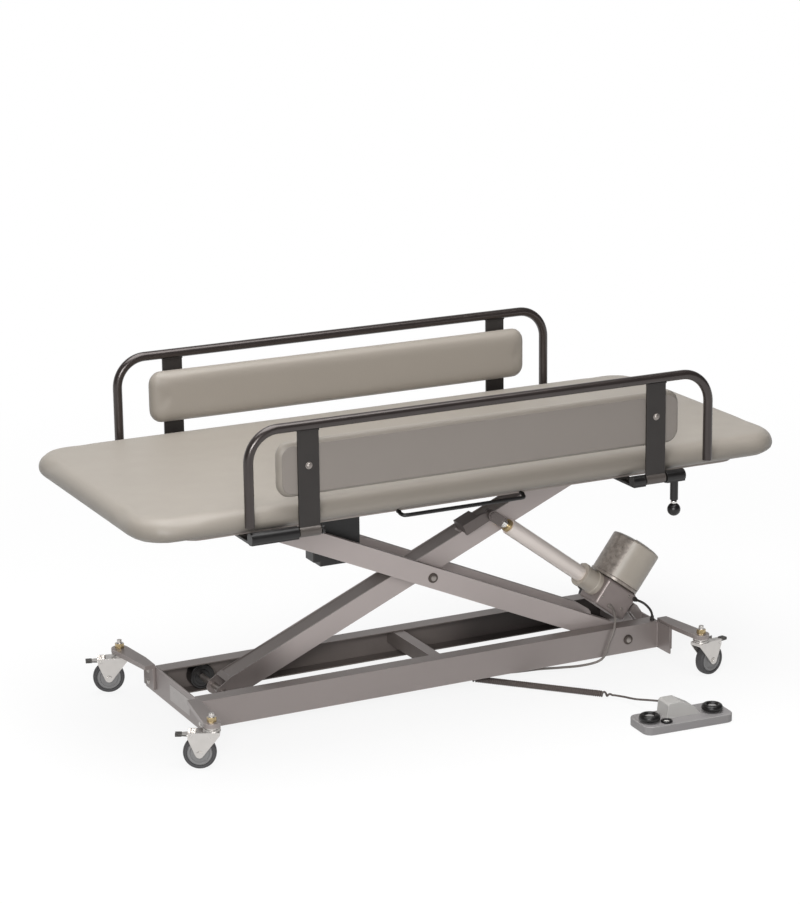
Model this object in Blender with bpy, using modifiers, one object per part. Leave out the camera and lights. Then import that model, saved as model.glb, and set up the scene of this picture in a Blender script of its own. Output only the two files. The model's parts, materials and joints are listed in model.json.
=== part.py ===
"""Mobile changing table: a padded deck on an electric scissor lift, with two fold-down side rails.

Metres, +Z up. The table's length runs along X and its foot switch lies on the -Y side.
Everything is modelled about the table's own centre plane. The last lines move it along Y, so that
the origin is on the floor, midway between the foot switch's front and the rear rail's back.
"""

import math

import bmesh
import bpy
import numpy as np
from mathutils import Matrix, Vector

# Clearances
FACE_GAP = 0.0003
SHAFT_GAP = 0.0003
ROLLER_GAP = 0.0005
ARM_SIDE_GAP = 0.002
ARM_END_GAP = 0.0015

# Base frame: two C-channel rails, closed by an end plate at each end
BASE_END_ROOM = 0.1014
BASE_HALF_WIDTH = 0.139
BASE_BOTTOM = 0.035
BASE_HEIGHT = 0.067
CHANNEL_WALL = 0.003
CHANNEL_FLANGE = 0.040
END_PLATE_THICK = 0.004
END_PLATE_HALF_WIDTH = 0.195
CROSS_BAR_X = 0.015
CROSS_BAR_WIDTH = 0.028
CROSS_BAR_HEIGHT = 0.036
GLAND_RADIUS = 0.008
GLAND_LENGTH = 0.008
GLAND_DROP = 0.019
CABLE_GLAND_Y = -0.050
CORD_GLAND_Y = 0.0

# Caster arms and casters
STEM_OUT = 0.030
STEM_Y = 0.283
CASTER_ARM_TOP = 0.108
CASTER_ARM_THICK = 0.011
CASTER_ARM_WIDTH = 0.040
CASTER_FLANGE_THICK = 0.006
CASTER_FLANGE_DROP = 0.063
CASTER_FLANGE_INNER = 0.130
CASTER_FLANGE_OUTER = 0.190
STEM_RADIUS = 0.006
NUT_RADIUS = 0.011
NUT_HEIGHT = 0.012
STEM_STAND = 0.020
WHEEL_RADIUS = 0.0375
WHEEL_WIDTH = 0.024
WHEEL_HUB_RADIUS = 0.017
WHEEL_TREAD_ROUND = 0.006
TRAIL = 0.028
AXLE_RADIUS = 0.004
AXLE_HEAD_RADIUS = 0.007
AXLE_HEAD_THICK = 0.003
FORK_SIDE_GAP = 0.0025
FORK_LEG_THICK = 0.0025
FORK_TOP_GAP = 0.005
FORK_CROWN_THICK = 0.007
FORK_HEAD_RADIUS = 0.018
FORK_FRONT = 0.018
FORK_LEG_ROUND = 0.010
BRAKE_PIVOT_X = 0.046
BRAKE_PIVOT_DROP = 0.0075
BRAKE_PIN_RADIUS = 0.003
BRAKE_PLATE_THICK = 0.003
BRAKE_INNER = 0.009
BRAKE_REACH = 0.034
BRAKE_SIDE_GAP = 0.002
BRAKE_TIP_LENGTH = 0.013
BRAKE_TIP_WIDTH = 0.016
BRAKE_TIP_THICK = 0.007
CASTERS = {"front_left": (-1, -1, (-0.90, 0.44)), "rear_left": (-1, 1, (-0.95, 0.30)),
           "front_right": (1, -1, (0.97, 0.24)), "rear_right": (1, 1, (0.98, 0.20))}

# Scissor lift: a pair of outer arms and one wide inner arm, crossed at their middles
ARM_SPAN = 1.1066
LIFT_ANGLE = math.radians(23.6)
FIXED_PIVOT_IN = 0.087
ARM_HEIGHT = 0.050
ARM_WALL = 0.0025
ARM_TAPER = 0.030
OUTER_ARM_WIDTH = 0.025
INNER_ARM_WIDTH = 0.060
INNER_ARM_Y = 0.004
SHAFT_RADIUS = 0.008
SHAFT_HEAD_RADIUS = 0.012
SHAFT_HEAD_THICK = 0.006
ROLLER_SIDE_GAP = 0.005

# Electric actuator, from a foot pivot on the right end plate to a bracket on the inner arm
FOOT_PIVOT_IN = 0.024
FOOT_PIVOT_Z = 0.113
HEAD_PIN_ALONG = 0.2118
HEAD_PIN_ABOVE = 0.0352
FOOT_PIN_RADIUS = 0.006
FOOT_LUG_RADIUS = 0.013
FOOT_LUG_THICK = 0.018
FOOT_EAR_THICK = 0.006
FOOT_EAR_DROP = 0.050
GEARBOX_NEAR = 0.030
GEARBOX_LENGTH = 0.098
GEARBOX_WIDTH = 0.082
GEARBOX_BELOW = 0.043
GEARBOX_ABOVE = 0.030
GEARBOX_ROUND = 0.008
NECK_LENGTH = 0.054
NECK_RADIUS = 0.030
TUBE_RADIUS = 0.0195
TUBE_STOP = 0.050
WIPER_LENGTH = 0.009
WIPER_RADIUS = 0.0155
ROD_RADIUS = 0.010
ROD_INSIDE = 0.230
MOTOR_ALONG = 0.0885
MOTOR_RADIUS = 0.0640
MOTOR_HEIGHT = 0.115
MOTOR_ROUND = 0.013
MOTOR_DOME = 0.008
HEAD_LUG_THICK = 0.010
HEAD_LUG_RADIUS = 0.010
HEAD_SIDE_GAP = 0.0005
ROD_CHEEK_THICK = 0.008
ROD_CHEEK_RADIUS = 0.0125
ROD_FORK_START = 0.024
ROD_FORK_THICK = 0.010
HEAD_BOLT_RADIUS = 0.008
HEAD_BOLT_THICK = 0.003
HEAD_FOOT_LENGTH = 0.050
HEAD_FOOT_BACK = 0.077
HEAD_FOOT_HEIGHT = 0.026

# Deck, pad and what hangs under them
DECK_HALF_LENGTH = 0.700
DECK_HALF_WIDTH = 0.322
DECK_THICK = 0.0100
DECK_CORNER = 0.040
DECK_RIB_HEIGHT = 0.0062
DECK_CHANNEL_HEIGHT = 0.041
DECK_CHANNEL_IN = 0.044
PAD_LENGTH = 1.632
PAD_SIDE_REACH = 0.043
PAD_WIDTH = 2 * (DECK_HALF_WIDTH + PAD_SIDE_REACH)
PAD_THICK = 0.054
PAD_CORNER = 0.092
PAD_EDGE = 0.032
PAD_CROWN = 0.003
PAD_DRAW = 0.003
CONTROL_BOX_LEFT = -0.277
CONTROL_BOX_LENGTH = 0.120
CONTROL_BOX_Y = -0.0325
CONTROL_BOX_WIDTH = 0.045
CONTROL_BOX_HEIGHT = 0.193
CONTROL_BOX_STEP_LENGTH = 0.017
CONTROL_BOX_STEP_HEIGHT = 0.012
HANDLE_LEFT = -0.190
HANDLE_RIGHT = 0.120
HANDLE_RADIUS = 0.0045
HANDLE_OUT = 0.026
HANDLE_DROP = 0.004
HANDLE_BEND = 0.014

# Fold-down side rails and their hinges
HINGE_OUT = 0.063
HINGE_DROP = 0.0035
HOOP_OUT = 0.003
HOOP_RADIUS = 0.011
HOOP_HALF_WIDTH = 0.575
HOOP_RISE = 0.237
HOOP_LEG_END = 0.027
HOOP_BEND = 0.070
STRAP_X = 0.435
STRAP_WIDTH = 0.050
STRAP_THICK = 0.006
STRAP_BOLT_RISE = 0.1475
STRAP_BOLT_RADIUS = 0.008
STRAP_BOLT_THICK = 0.005
KNUCKLE_RADIUS = 0.0125
HINGE_PIN_RADIUS = 0.007
BARREL_RADIUS = 0.0145
BARREL_GAP = 0.003
LEFT_BARREL_LENGTH = 0.112
RIGHT_BARREL_LENGTH = 0.049
SMALL_BARREL_RADIUS = 0.0125
SMALL_BARREL_LENGTH = 0.032
PIN_COLLAR_RADIUS = 0.011
PIN_COLLAR_LENGTH = 0.006
HINGE_FLANGE_THICK = 0.006
HINGE_FLANGE_REACH = 0.040
HINGE_WEB_HALF = 0.011
PLUNGER_X = 0.495
PLUNGER_IN = 0.010
PLUNGER_RADIUS = 0.005
GUIDE_RADIUS = 0.0095
GUIDE_BOTTOM_DROP = 0.061
KNOB_RADIUS = 0.0155
KNOB_DROP = 0.084
PLUNGER_TOP_DROP = 0.017
GUIDE_BORE_TOP_DROP = 0.011
BOLSTER_LENGTH = 1.010
BOLSTER_HEIGHT = 0.128
BOLSTER_THICK = 0.040
BOLSTER_RISE = 0.075
BOLSTER_CORNER = 0.036
BOLSTER_EDGE = 0.016
BOLSTER_CROWN = 0.004
BOLSTER_DRAW = 0.002

# Foot switch, its curly cord, and the motor's cables. A route's X starts at the gland's end where it enters
# the cross bar, and at the actuator's foot pivot where it leaves the motor
SWITCH_X = 0.4255
SWITCH_Y = -0.5315
SWITCH_TURN = math.radians(-3.0)
SWITCH_LENGTH = 0.229
SWITCH_WIDTH = 0.095
SWITCH_HEIGHT = 0.020
SWITCH_CORNER = 0.020
HUMP_FRONT = -0.012
HUMP_BACK = 0.038
HUMP_HEIGHT = 0.0560
HUMP_LEFT = -0.0440
HUMP_RIGHT = 0.0430
BUTTON_LEFT = -0.0870
BUTTON_RIGHT = 0.0755
BUTTON_Y = -0.0085
BUTTON_RADIUS = 0.025
BUTTON_HEIGHT = 0.013
BUTTON_LIFT = 0.005
BUTTON_DISH_RADIUS = 0.012
BUTTON_DISH_DEPTH = 0.004
BUTTON_STEM_RADIUS = 0.010
BUTTON_STEM_DEPTH = 0.007
BUTTON_POCKET_DEPTH = 0.014
RING_X = -0.0545
RING_Y = -0.0300
RING_RADIUS = 0.011
RING_WIRE_RADIUS = 0.0028
CORD_RADIUS = 0.0025
CURL_RADIUS = 0.0055
CURLS = 46
POINTS_PER_CURL = 8
CURL_FLOOR_GAP = 0.0008
CURL_START = (0.1145, -0.0435)
CURL_END = (0.372, -0.323)
CORD_IN = [(0.0003, 0.0, 0.0797), (0.0070, 0.0, 0.0797), (0.0270, -0.004, 0.068), (0.0490, -0.018, 0.032)]
CORD_OUT = [(0.3840, -0.345, 0.010), (0.3910, -0.385, 0.016), (0.3965, -0.440, 0.030),
            (0.3982, -0.4790, 0.0400), (0.3975, -0.4917, 0.0400)]
CABLE_RADIUS = 0.003
MOTOR_CABLE_DROP = [(-0.0865, -0.0908, 0.1430), (-0.0870, -0.1040, 0.1420), (-0.0940, -0.1300, 0.1270),
                    (-0.1060, -0.1452, 0.1020), (-0.1200, -0.1462, 0.0700), (-0.1310, -0.1455, 0.0420),
                    (-0.1470, -0.1400, 0.0265), (-0.1860, -0.1290, 0.0190)]
MOTOR_CABLE_LOW = (-0.1200, 0.0200)
MOTOR_CABLE_RUN = [(0.2470, -0.1180, 0.0250), (0.1630, -0.1060, 0.0265), (0.0830, -0.0800, 0.0330),
                   (0.0350, -0.0580, 0.0580), (0.0090, -0.0500, 0.0797), (0.0003, -0.0500, 0.0797)]
MOTOR_LEAD = [(-0.0160, -0.0908, 0.1500), (-0.0150, -0.1000, 0.1500), (-0.0040, -0.1160, 0.1440),
              (0.0090, -0.1230, 0.1280), (0.0140, -0.1240, 0.1130), (0.0140, -0.1240, 0.1023)]

# Finishes: colour, roughness and metallic value
FINISHES = {
    "silver_paint": ((0.30, 0.27, 0.26), 0.45, 0.35),
    "dark_paint": ((0.045, 0.038, 0.035), 0.50, 0.30),
    "vinyl": ((0.46, 0.43, 0.38), 0.45, 0.0),
    "zinc": ((0.62, 0.60, 0.57), 0.30, 0.9),
    "chrome": ((0.75, 0.74, 0.72), 0.12, 1.0),
    "grey_tyre": ((0.10, 0.10, 0.10), 0.65, 0.0),
    "black_plastic": ((0.012, 0.012, 0.012), 0.45, 0.0),
    "motor_plastic": ((0.33, 0.30, 0.26), 0.40, 0.0),
    "switch_grey": ((0.30, 0.30, 0.29), 0.50, 0.0),
    "board": ((0.34, 0.31, 0.29), 0.55, 0.0),
    "black_cord": ((0.02, 0.018, 0.016), 0.55, 0.0),
    "grey_cord": ((0.16, 0.15, 0.14), 0.50, 0.0),
}

# Places that follow from the sizes above
BASE_HALF_LENGTH = (ARM_SPAN + BASE_END_ROOM) / 2
STEM_X = BASE_HALF_LENGTH + STEM_OUT
FIXED_PIVOT_X = BASE_HALF_LENGTH - FIXED_PIVOT_IN
FOOT_PIVOT_X = BASE_HALF_LENGTH - FOOT_PIVOT_IN
DECK_CHANNEL_HALF_LENGTH = BASE_HALF_LENGTH - DECK_CHANNEL_IN
BASE_TOP = BASE_BOTTOM + BASE_HEIGHT
PIVOT_Z = BASE_BOTTOM + BASE_HEIGHT / 2
DECK_PIVOT_Z = PIVOT_Z + ARM_SPAN * math.sin(LIFT_ANGLE)
CENTRE_X = FIXED_PIVOT_X - ARM_SPAN / 2 * math.cos(LIFT_ANGLE)
CENTRE_Z = (PIVOT_Z + DECK_PIVOT_Z) / 2
WEB_INSIDE = BASE_HALF_WIDTH - CHANNEL_WALL
OUTER_ARM_OUTSIDE = BASE_HALF_WIDTH - CHANNEL_FLANGE - ARM_SIDE_GAP
OUTER_ARM_INSIDE = OUTER_ARM_OUTSIDE - OUTER_ARM_WIDTH
ARM_END_RADIUS = DECK_CHANNEL_HEIGHT / 2 - ARM_END_GAP
ACTUATOR_Y = INNER_ARM_Y / 2 - (OUTER_ARM_INSIDE + INNER_ARM_WIDTH / 2) / 2
GEARBOX_FAR = GEARBOX_NEAR + GEARBOX_LENGTH
DECK_BOTTOM = DECK_PIVOT_Z + DECK_CHANNEL_HEIGHT / 2 + FACE_GAP
BOARD_BOTTOM = DECK_BOTTOM + DECK_RIB_HEIGHT
DECK_TOP = BOARD_BOTTOM + DECK_THICK
HINGE_Y = DECK_HALF_WIDTH + HINGE_OUT
HINGE_Z = DECK_TOP - HINGE_DROP
HOOP_Y = HINGE_Y + HOOP_OUT
CASTER_ARM_BOTTOM = CASTER_ARM_TOP - CASTER_ARM_THICK
FORK_CROWN_BOTTOM = 2 * WHEEL_RADIUS + FORK_TOP_GAP
FORK_CROWN_TOP = FORK_CROWN_BOTTOM + FORK_CROWN_THICK
LEG_INSIDE = WHEEL_WIDTH / 2 + FORK_SIDE_GAP
LEG_OUTSIDE = LEG_INSIDE + FORK_LEG_THICK
BRAKE_PIVOT_Z = FORK_CROWN_TOP - BRAKE_PIVOT_DROP
GLAND_END = CROSS_BAR_X + CROSS_BAR_WIDTH / 2 + GLAND_LENGTH

for old in list(bpy.data.objects):
    bpy.data.objects.remove(old)
PARTS = bpy.data.collections.new("mobile_changing_table")
bpy.context.scene.collection.children.link(PARTS)


# Modelling helpers
def add_object(name, data):
    obj = bpy.data.objects.new(name, data)
    PARTS.objects.link(obj)
    return obj


def baked(source):
    """A plain mesh object in place of a curve, or of a mesh with modifiers."""
    bpy.context.view_layer.update()
    graph = bpy.context.evaluated_depsgraph_get()
    mesh = bpy.data.meshes.new_from_object(source.evaluated_get(graph))
    name = source.name
    bpy.data.objects.remove(source)
    shape = bmesh.new()
    shape.from_mesh(mesh)
    bmesh.ops.remove_doubles(shape, verts=shape.verts, dist=1e-6)
    bmesh.ops.recalc_face_normals(shape, faces=shape.faces)
    shape.to_mesh(mesh)
    shape.free()
    return add_object(name, mesh)


def box(name, low, high, rounding=0.0):
    """A block between two corners, with its edges rounded where a radius is given."""
    shape = bmesh.new()
    size = Vector(high) - Vector(low)
    middle = (Vector(high) + Vector(low)) / 2
    bmesh.ops.create_cube(shape, size=1, matrix=Matrix.Translation(middle) @ Matrix.Diagonal((*size, 1)))
    mesh = bpy.data.meshes.new(name)
    shape.to_mesh(mesh)
    shape.free()
    obj = add_object(name, mesh)
    if rounding:
        bevel = obj.modifiers.new("Rounded", "BEVEL")
        bevel.width = rounding
        bevel.segments = 3
        obj = baked(obj)
    return obj


def cylinder(name, radius, start, end, sides=16):
    """A closed cylinder from one point to another."""
    run = Vector(end) - Vector(start)
    turn = run.to_track_quat("Z", "Y").to_matrix().to_4x4()
    middle = Matrix.Translation((Vector(start) + Vector(end)) / 2)
    shape = bmesh.new()
    bmesh.ops.create_cone(shape, cap_ends=True, segments=sides, radius1=radius, radius2=radius,
                          depth=run.length, matrix=middle @ turn)
    mesh = bpy.data.meshes.new(name)
    shape.to_mesh(mesh)
    shape.free()
    return add_object(name, mesh)


def across(name, radius, x, z, low_y, high_y, sides=16):
    """A cylinder that runs along Y at one X and Z."""
    return cylinder(name, radius, (x, low_y, z), (x, high_y, z), sides)


def arc(centre, radius, first, last, steps):
    """Points on a circular arc, with its angles in degrees."""
    angles = np.radians(np.linspace(first, last, steps + 1))
    return [(centre[0] + radius * math.cos(a), centre[1] + radius * math.sin(a)) for a in angles]


def plate(name, outline, plane, low, high):
    """A flat outline in one plane, extruded between two places along the plane's normal."""
    data = bpy.data.curves.new(name, "CURVE")
    data.dimensions = "2D"
    data.fill_mode = "BOTH"
    data.extrude = (high - low) / 2
    spline = data.splines.new("POLY")
    spline.points.add(len(outline) - 1)
    for point, (first, second) in zip(spline.points, outline):
        point.co = (first, second, 0, 1)
    spline.use_cyclic_u = True
    obj = baked(add_object(name, data))
    turns = {"XY": ((1, 0, 0), (0, 1, 0), (0, 0, 1)),
             "XZ": ((1, 0, 0), (0, 0, -1), (0, 1, 0)),
             "YZ": ((0, 0, 1), (1, 0, 0), (0, 1, 0))}
    normals = {"XY": (0, 0, 1), "XZ": (0, 1, 0), "YZ": (1, 0, 0)}
    middle = Vector(normals[plane]) * (low + high) / 2
    shape = bmesh.new()
    shape.from_mesh(obj.data)
    bmesh.ops.dissolve_limit(shape, angle_limit=0.001, verts=shape.verts, edges=shape.edges)
    shape.transform(Matrix.Translation(middle) @ Matrix(turns[plane]).to_4x4())
    shape.to_mesh(obj.data)
    shape.free()
    return obj


def turned(name, profile, axis, steps, ring=False):
    """A profile of (radius, place along the axis), turned about X, Y or Z. A ring's profile is a loop."""
    count = len(profile)
    edges = [(i, i + 1) for i in range(count - 1)]
    if ring:
        edges.append((count - 1, 0))
    mesh = bpy.data.meshes.new(name)
    mesh.from_pydata([(radius, 0, along) for radius, along in profile], edges, [])
    obj = add_object(name, mesh)
    screw = obj.modifiers.new("Turned", "SCREW")
    screw.steps = steps
    screw.render_steps = steps
    screw.use_merge_vertices = True
    screw.merge_threshold = 1e-6
    obj = baked(obj)
    turns = {"X": ((0, 0, 1), (0, 1, 0), (-1, 0, 0)), "Y": ((1, 0, 0), (0, 0, 1), (0, -1, 0)),
             "Z": ((1, 0, 0), (0, 1, 0), (0, 0, 1))}
    obj.data.transform(Matrix(turns[axis]).to_4x4())
    return obj


def tube(name, points, radius, resolution):
    """A round tube along a line of points, with closed ends."""
    data = bpy.data.curves.new(name, "CURVE")
    data.dimensions = "3D"
    data.bevel_depth = radius
    data.bevel_resolution = resolution
    data.use_fill_caps = True
    spline = data.splines.new("POLY")
    spline.points.add(len(points) - 1)
    for point, place in zip(spline.points, points):
        point.co = (*place, 1)
    return add_object(name, data)


def combined(target, operation, others):
    for other in others:
        modifier = target.modifiers.new(operation.title(), "BOOLEAN")
        modifier.operation = operation
        modifier.object = other
    result = baked(target)
    for other in others:
        bpy.data.objects.remove(other)
    return result


def joined(target, *others):
    return combined(target, "UNION", others)


def cut(target, *others):
    return combined(target, "DIFFERENCE", others)


def pivot(name, parent, place, turn_y=0.0, turn_z=0.0):
    """An empty on a joint's axis, which carries the pieces of one moving body."""
    empty = add_object(name, None)
    empty.empty_display_size = 0.05
    empty.parent = parent
    empty.location = place
    empty.rotation_euler = (0, turn_y, turn_z)
    bpy.context.view_layer.update()
    return empty


def finish(obj, look):
    """The piece's own material, and smooth shading on its round faces."""
    colour, roughness, metallic = FINISHES[look]
    material = bpy.data.materials.new(obj.name + "_" + look)
    material.use_nodes = True
    shader = material.node_tree.nodes["Principled BSDF"]
    shader.inputs["Base Color"].default_value = (*colour, 1)
    shader.inputs["Roughness"].default_value = roughness
    shader.inputs["Metallic"].default_value = metallic
    obj.data.materials.append(material)
    if obj.type == "MESH":
        obj.data.shade_smooth()
        obj.data.set_sharp_from_angle(angle=math.radians(35))


def ride(obj, carrier, look, place=(0, 0, 0)):
    """Carries a piece that is modelled in its carrier's own axes."""
    obj.parent = carrier
    obj.location = place
    finish(obj, look)


def hold(obj, carrier, look):
    """Carries a piece that is modelled in the table's axes, and leaves it where it is."""
    obj.parent = carrier
    obj.matrix_parent_inverse = carrier.matrix_world.inverted()
    finish(obj, look)


def smooth_route(points, spacing, straight=(True, True)):
    """Points at about one spacing along a smooth curve through the given points.

    Where an end is straight, its first stretch is left as one straight piece, square to what it meets.
    """
    given = np.array(points, float)
    ends = np.vstack([2 * given[0] - given[1], given, 2 * given[-1] - given[-2]])
    count = 24
    steps = np.linspace(0, 1, count + 1)[:-1, None]
    pieces = []
    for before, start, end, after in zip(ends[:-3], ends[1:-2], ends[2:-1], ends[3:]):
        slope_in = (end - before) / 2
        slope_out = (after - start) / 2
        pieces.append((2 * steps**3 - 3 * steps**2 + 1) * start + (steps**3 - 2 * steps**2 + steps) * slope_in
                      + (3 * steps**2 - 2 * steps**3) * end + (steps**3 - steps**2) * slope_out)
    dense = np.vstack(pieces + [given[-1:]])
    along = np.concatenate([[0], np.cumsum(np.linalg.norm(np.diff(dense, axis=0), axis=1))])
    first = along[count] if straight[0] else 0
    last = along[-1 - count] if straight[1] else along[-1]
    marks = np.linspace(first, last, max(3, round((last - first) / spacing) + 1))
    marks = np.unique(np.concatenate([[0], marks, [along[-1]]]))
    return np.column_stack([np.interp(marks, along, dense[:, i]) for i in range(3)])


def rounded_slab(name, half_length, half_width, corner, low, high):
    """A flat slab with rounded corners in plan."""
    points = []
    for sign_x, sign_y, first in ((1, 1, 0), (-1, 1, 90), (-1, -1, 180), (1, -1, 270)):
        centre = (sign_x * (half_length - corner), sign_y * (half_width - corner))
        points += arc(centre, corner, first, first + 90, 4)
    return plate(name, points, "XY", low, high)


def cushion(name, length, width, thick, corner, edge, crown, draw, cuts):
    """A padded slab in X and Y: a flat underside at Z 0, round edges, a crowned top, drawn-in sides."""
    shape = bmesh.new()
    bmesh.ops.create_cube(shape, size=2)
    bmesh.ops.subdivide_edges(shape, edges=shape.edges, cuts=cuts, use_grid_fill=True)
    half = (length / 2 - edge, width / 2 - edge)
    bend = corner - edge
    bend_share = 1 - 4 / (cuts + 1)
    for vertex in shape.verts:
        given = vertex.co.copy()
        flat = []
        for share, reach in zip(given.xy, half):
            size = abs(share)
            if size <= bend_share:
                place = size / bend_share * (reach - bend)
            else:
                place = reach - bend + (size - bend_share) / (1 - bend_share) * bend
            flat.append(math.copysign(place, share))
        over = [max(0.0, abs(value) - (reach - bend)) / bend for value, reach in zip(flat, half)]
        if min(over) > 0:
            pulled = (over[0] * math.sqrt(1 - over[1]**2 / 2), over[1] * math.sqrt(1 - over[0]**2 / 2))
            flat = [math.copysign(reach - bend + bend * pull, value)
                    for reach, pull, value in zip(half, pulled, flat)]
            outward = Vector((math.copysign(pulled[0], flat[0]), math.copysign(pulled[1], flat[1])))
        else:
            outward = Vector((math.copysign(over[0], flat[0]), math.copysign(over[1], flat[1])))
        lean = given.z * math.pi / 2
        on_side = max(abs(given.x), abs(given.y)) > 1 - 1e-6
        spread = edge * math.cos(lean) if on_side else 0.0
        if outward.length > 0:
            outward.normalize()
        middle = (1 - given.x**2) * (1 - given.y**2)
        drawn = draw * ((1 - given.x**2) * abs(outward.y) + (1 - given.y**2) * abs(outward.x))
        rise = thick / 2 * (1 + math.sin(lean))
        vertex.co = (flat[0] + outward.x * (spread - drawn), flat[1] + outward.y * (spread - drawn),
                     rise - crown * (1 - middle) * (1 + math.sin(lean)) / 2)
    mesh = bpy.data.meshes.new(name)
    shape.to_mesh(mesh)
    shape.free()
    return add_object(name, mesh)


# Base frame
def channel(name, side, outside, bottom, height, low_x, high_x):
    """A C-channel along X, open towards the centre plane. Side is -1 in front and 1 behind."""
    edge = outside - CHANNEL_FLANGE
    web = outside - CHANNEL_WALL
    top = bottom + height
    section = [(outside, bottom), (edge, bottom), (edge, bottom + CHANNEL_WALL), (web, bottom + CHANNEL_WALL),
               (web, top - CHANNEL_WALL), (edge, top - CHANNEL_WALL), (edge, top), (outside, top)]
    return plate(name, [(side * y, z) for y, z in section], "YZ", low_x, high_x)


def base_frame(table):
    rail_end = BASE_HALF_LENGTH - END_PLATE_THICK - FACE_GAP
    for side, where in ((-1, "front"), (1, "rear")):
        rail = channel("base_rail_" + where, side, BASE_HALF_WIDTH, BASE_BOTTOM, BASE_HEIGHT, -rail_end, rail_end)
        hole = across("hole", SHAFT_RADIUS + SHAFT_GAP, FIXED_PIVOT_X, PIVOT_Z,
                      side * BASE_HALF_WIDTH - CHANNEL_FLANGE / 2, side * BASE_HALF_WIDTH + CHANNEL_FLANGE / 2)
        hold(cut(rail, hole), table, "silver_paint")
    inside = BASE_HALF_LENGTH - END_PLATE_THICK
    left = box("end_plate_left", (-BASE_HALF_LENGTH, -END_PLATE_HALF_WIDTH, BASE_BOTTOM),
               (-inside, END_PLATE_HALF_WIDTH, BASE_TOP))
    hold(left, table, "silver_paint")
    hold(right_end_plate(inside), table, "silver_paint")
    bar_top = BASE_TOP - CHANNEL_WALL - FACE_GAP
    half = CROSS_BAR_WIDTH / 2
    bar = box("base_cross_bar", (CROSS_BAR_X - half, -WEB_INSIDE + FACE_GAP, bar_top - CROSS_BAR_HEIGHT),
              (CROSS_BAR_X + half, WEB_INSIDE - FACE_GAP, bar_top))
    glands = [cylinder("gland", GLAND_RADIUS, (CROSS_BAR_X, y, bar_top - GLAND_DROP),
                       (GLAND_END, y, bar_top - GLAND_DROP), 12)
              for y in (CABLE_GLAND_Y, CORD_GLAND_Y)]
    hold(joined(bar, *glands), table, "silver_paint")
    reach = BASE_HALF_WIDTH + FACE_GAP
    shaft_end = reach + SHAFT_HEAD_THICK / 2
    shaft = across("lower_pivot_shaft", SHAFT_RADIUS, FIXED_PIVOT_X, PIVOT_Z, -shaft_end, shaft_end)
    heads = [across("head", SHAFT_HEAD_RADIUS, FIXED_PIVOT_X, PIVOT_Z, side * reach,
                    side * (reach + SHAFT_HEAD_THICK), 6) for side in (-1, 1)]
    hold(joined(shaft, *heads), table, "zinc")


def right_end_plate(inside):
    """The end plate with two ears and a pin for the actuator's foot."""
    body = box("end_plate_right", (inside, -END_PLATE_HALF_WIDTH, BASE_BOTTOM),
               (BASE_HALF_LENGTH, END_PLATE_HALF_WIDTH, BASE_TOP))
    ear_foot = inside + END_PLATE_THICK / 2
    ear = arc((FOOT_PIVOT_X, FOOT_PIVOT_Z), FOOT_LUG_RADIUS, 60, 240, 8)
    ear += [(ear_foot, FOOT_PIVOT_Z - FOOT_EAR_DROP), (ear_foot, BASE_TOP)]
    near = FOOT_LUG_THICK / 2 + HEAD_SIDE_GAP
    far = near + FOOT_EAR_THICK
    ears = [plate("ear", ear, "XZ", ACTUATOR_Y + low, ACTUATOR_Y + high) for low, high in ((-far, -near), (near, far))]
    pin = across("pin", FOOT_PIN_RADIUS, FOOT_PIVOT_X, FOOT_PIVOT_Z, ACTUATOR_Y - far - SHAFT_HEAD_THICK / 2,
                 ACTUATOR_Y + far + SHAFT_HEAD_THICK / 2)
    return joined(body, *ears, pin)


# Casters
def caster_arm(name, side_x, side_y):
    """A flat arm from the end plate to the swivel stem, with a flange that bolts to the plate."""
    inner = BASE_HALF_LENGTH + FACE_GAP
    half = CASTER_ARM_WIDTH / 2
    outline = [(inner, CASTER_FLANGE_INNER), (inner, CASTER_FLANGE_OUTER)]
    outline += arc((STEM_X, STEM_Y), half, 180, 0, 8)
    outline.append((inner + half + CASTER_FLANGE_THICK, CASTER_FLANGE_INNER))
    outline = [(side_x * x, side_y * y) for x, y in outline]
    arm = plate(name, outline, "XY", CASTER_ARM_BOTTOM, CASTER_ARM_TOP)
    corners = [(inner, CASTER_FLANGE_INNER), (inner + CASTER_FLANGE_THICK, CASTER_FLANGE_OUTER)]
    low_x, high_x = sorted(side_x * x for x, _ in corners)
    low_y, high_y = sorted(side_y * y for _, y in corners)
    flange = box("flange", (low_x, low_y, CASTER_ARM_TOP - CASTER_FLANGE_DROP),
                 (high_x, high_y, CASTER_ARM_TOP - CASTER_ARM_THICK / 2))
    x, y = side_x * STEM_X, side_y * STEM_Y
    stem = cylinder("stem", STEM_RADIUS, (x, y, FORK_CROWN_BOTTOM), (x, y, CASTER_ARM_TOP + STEM_STAND), 12)
    nut = cylinder("nut", NUT_RADIUS, (x, y, CASTER_ARM_TOP - CASTER_ARM_THICK / 2),
                   (x, y, CASTER_ARM_TOP + NUT_HEIGHT), 6)
    return joined(arm, flange, stem, nut)


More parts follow.
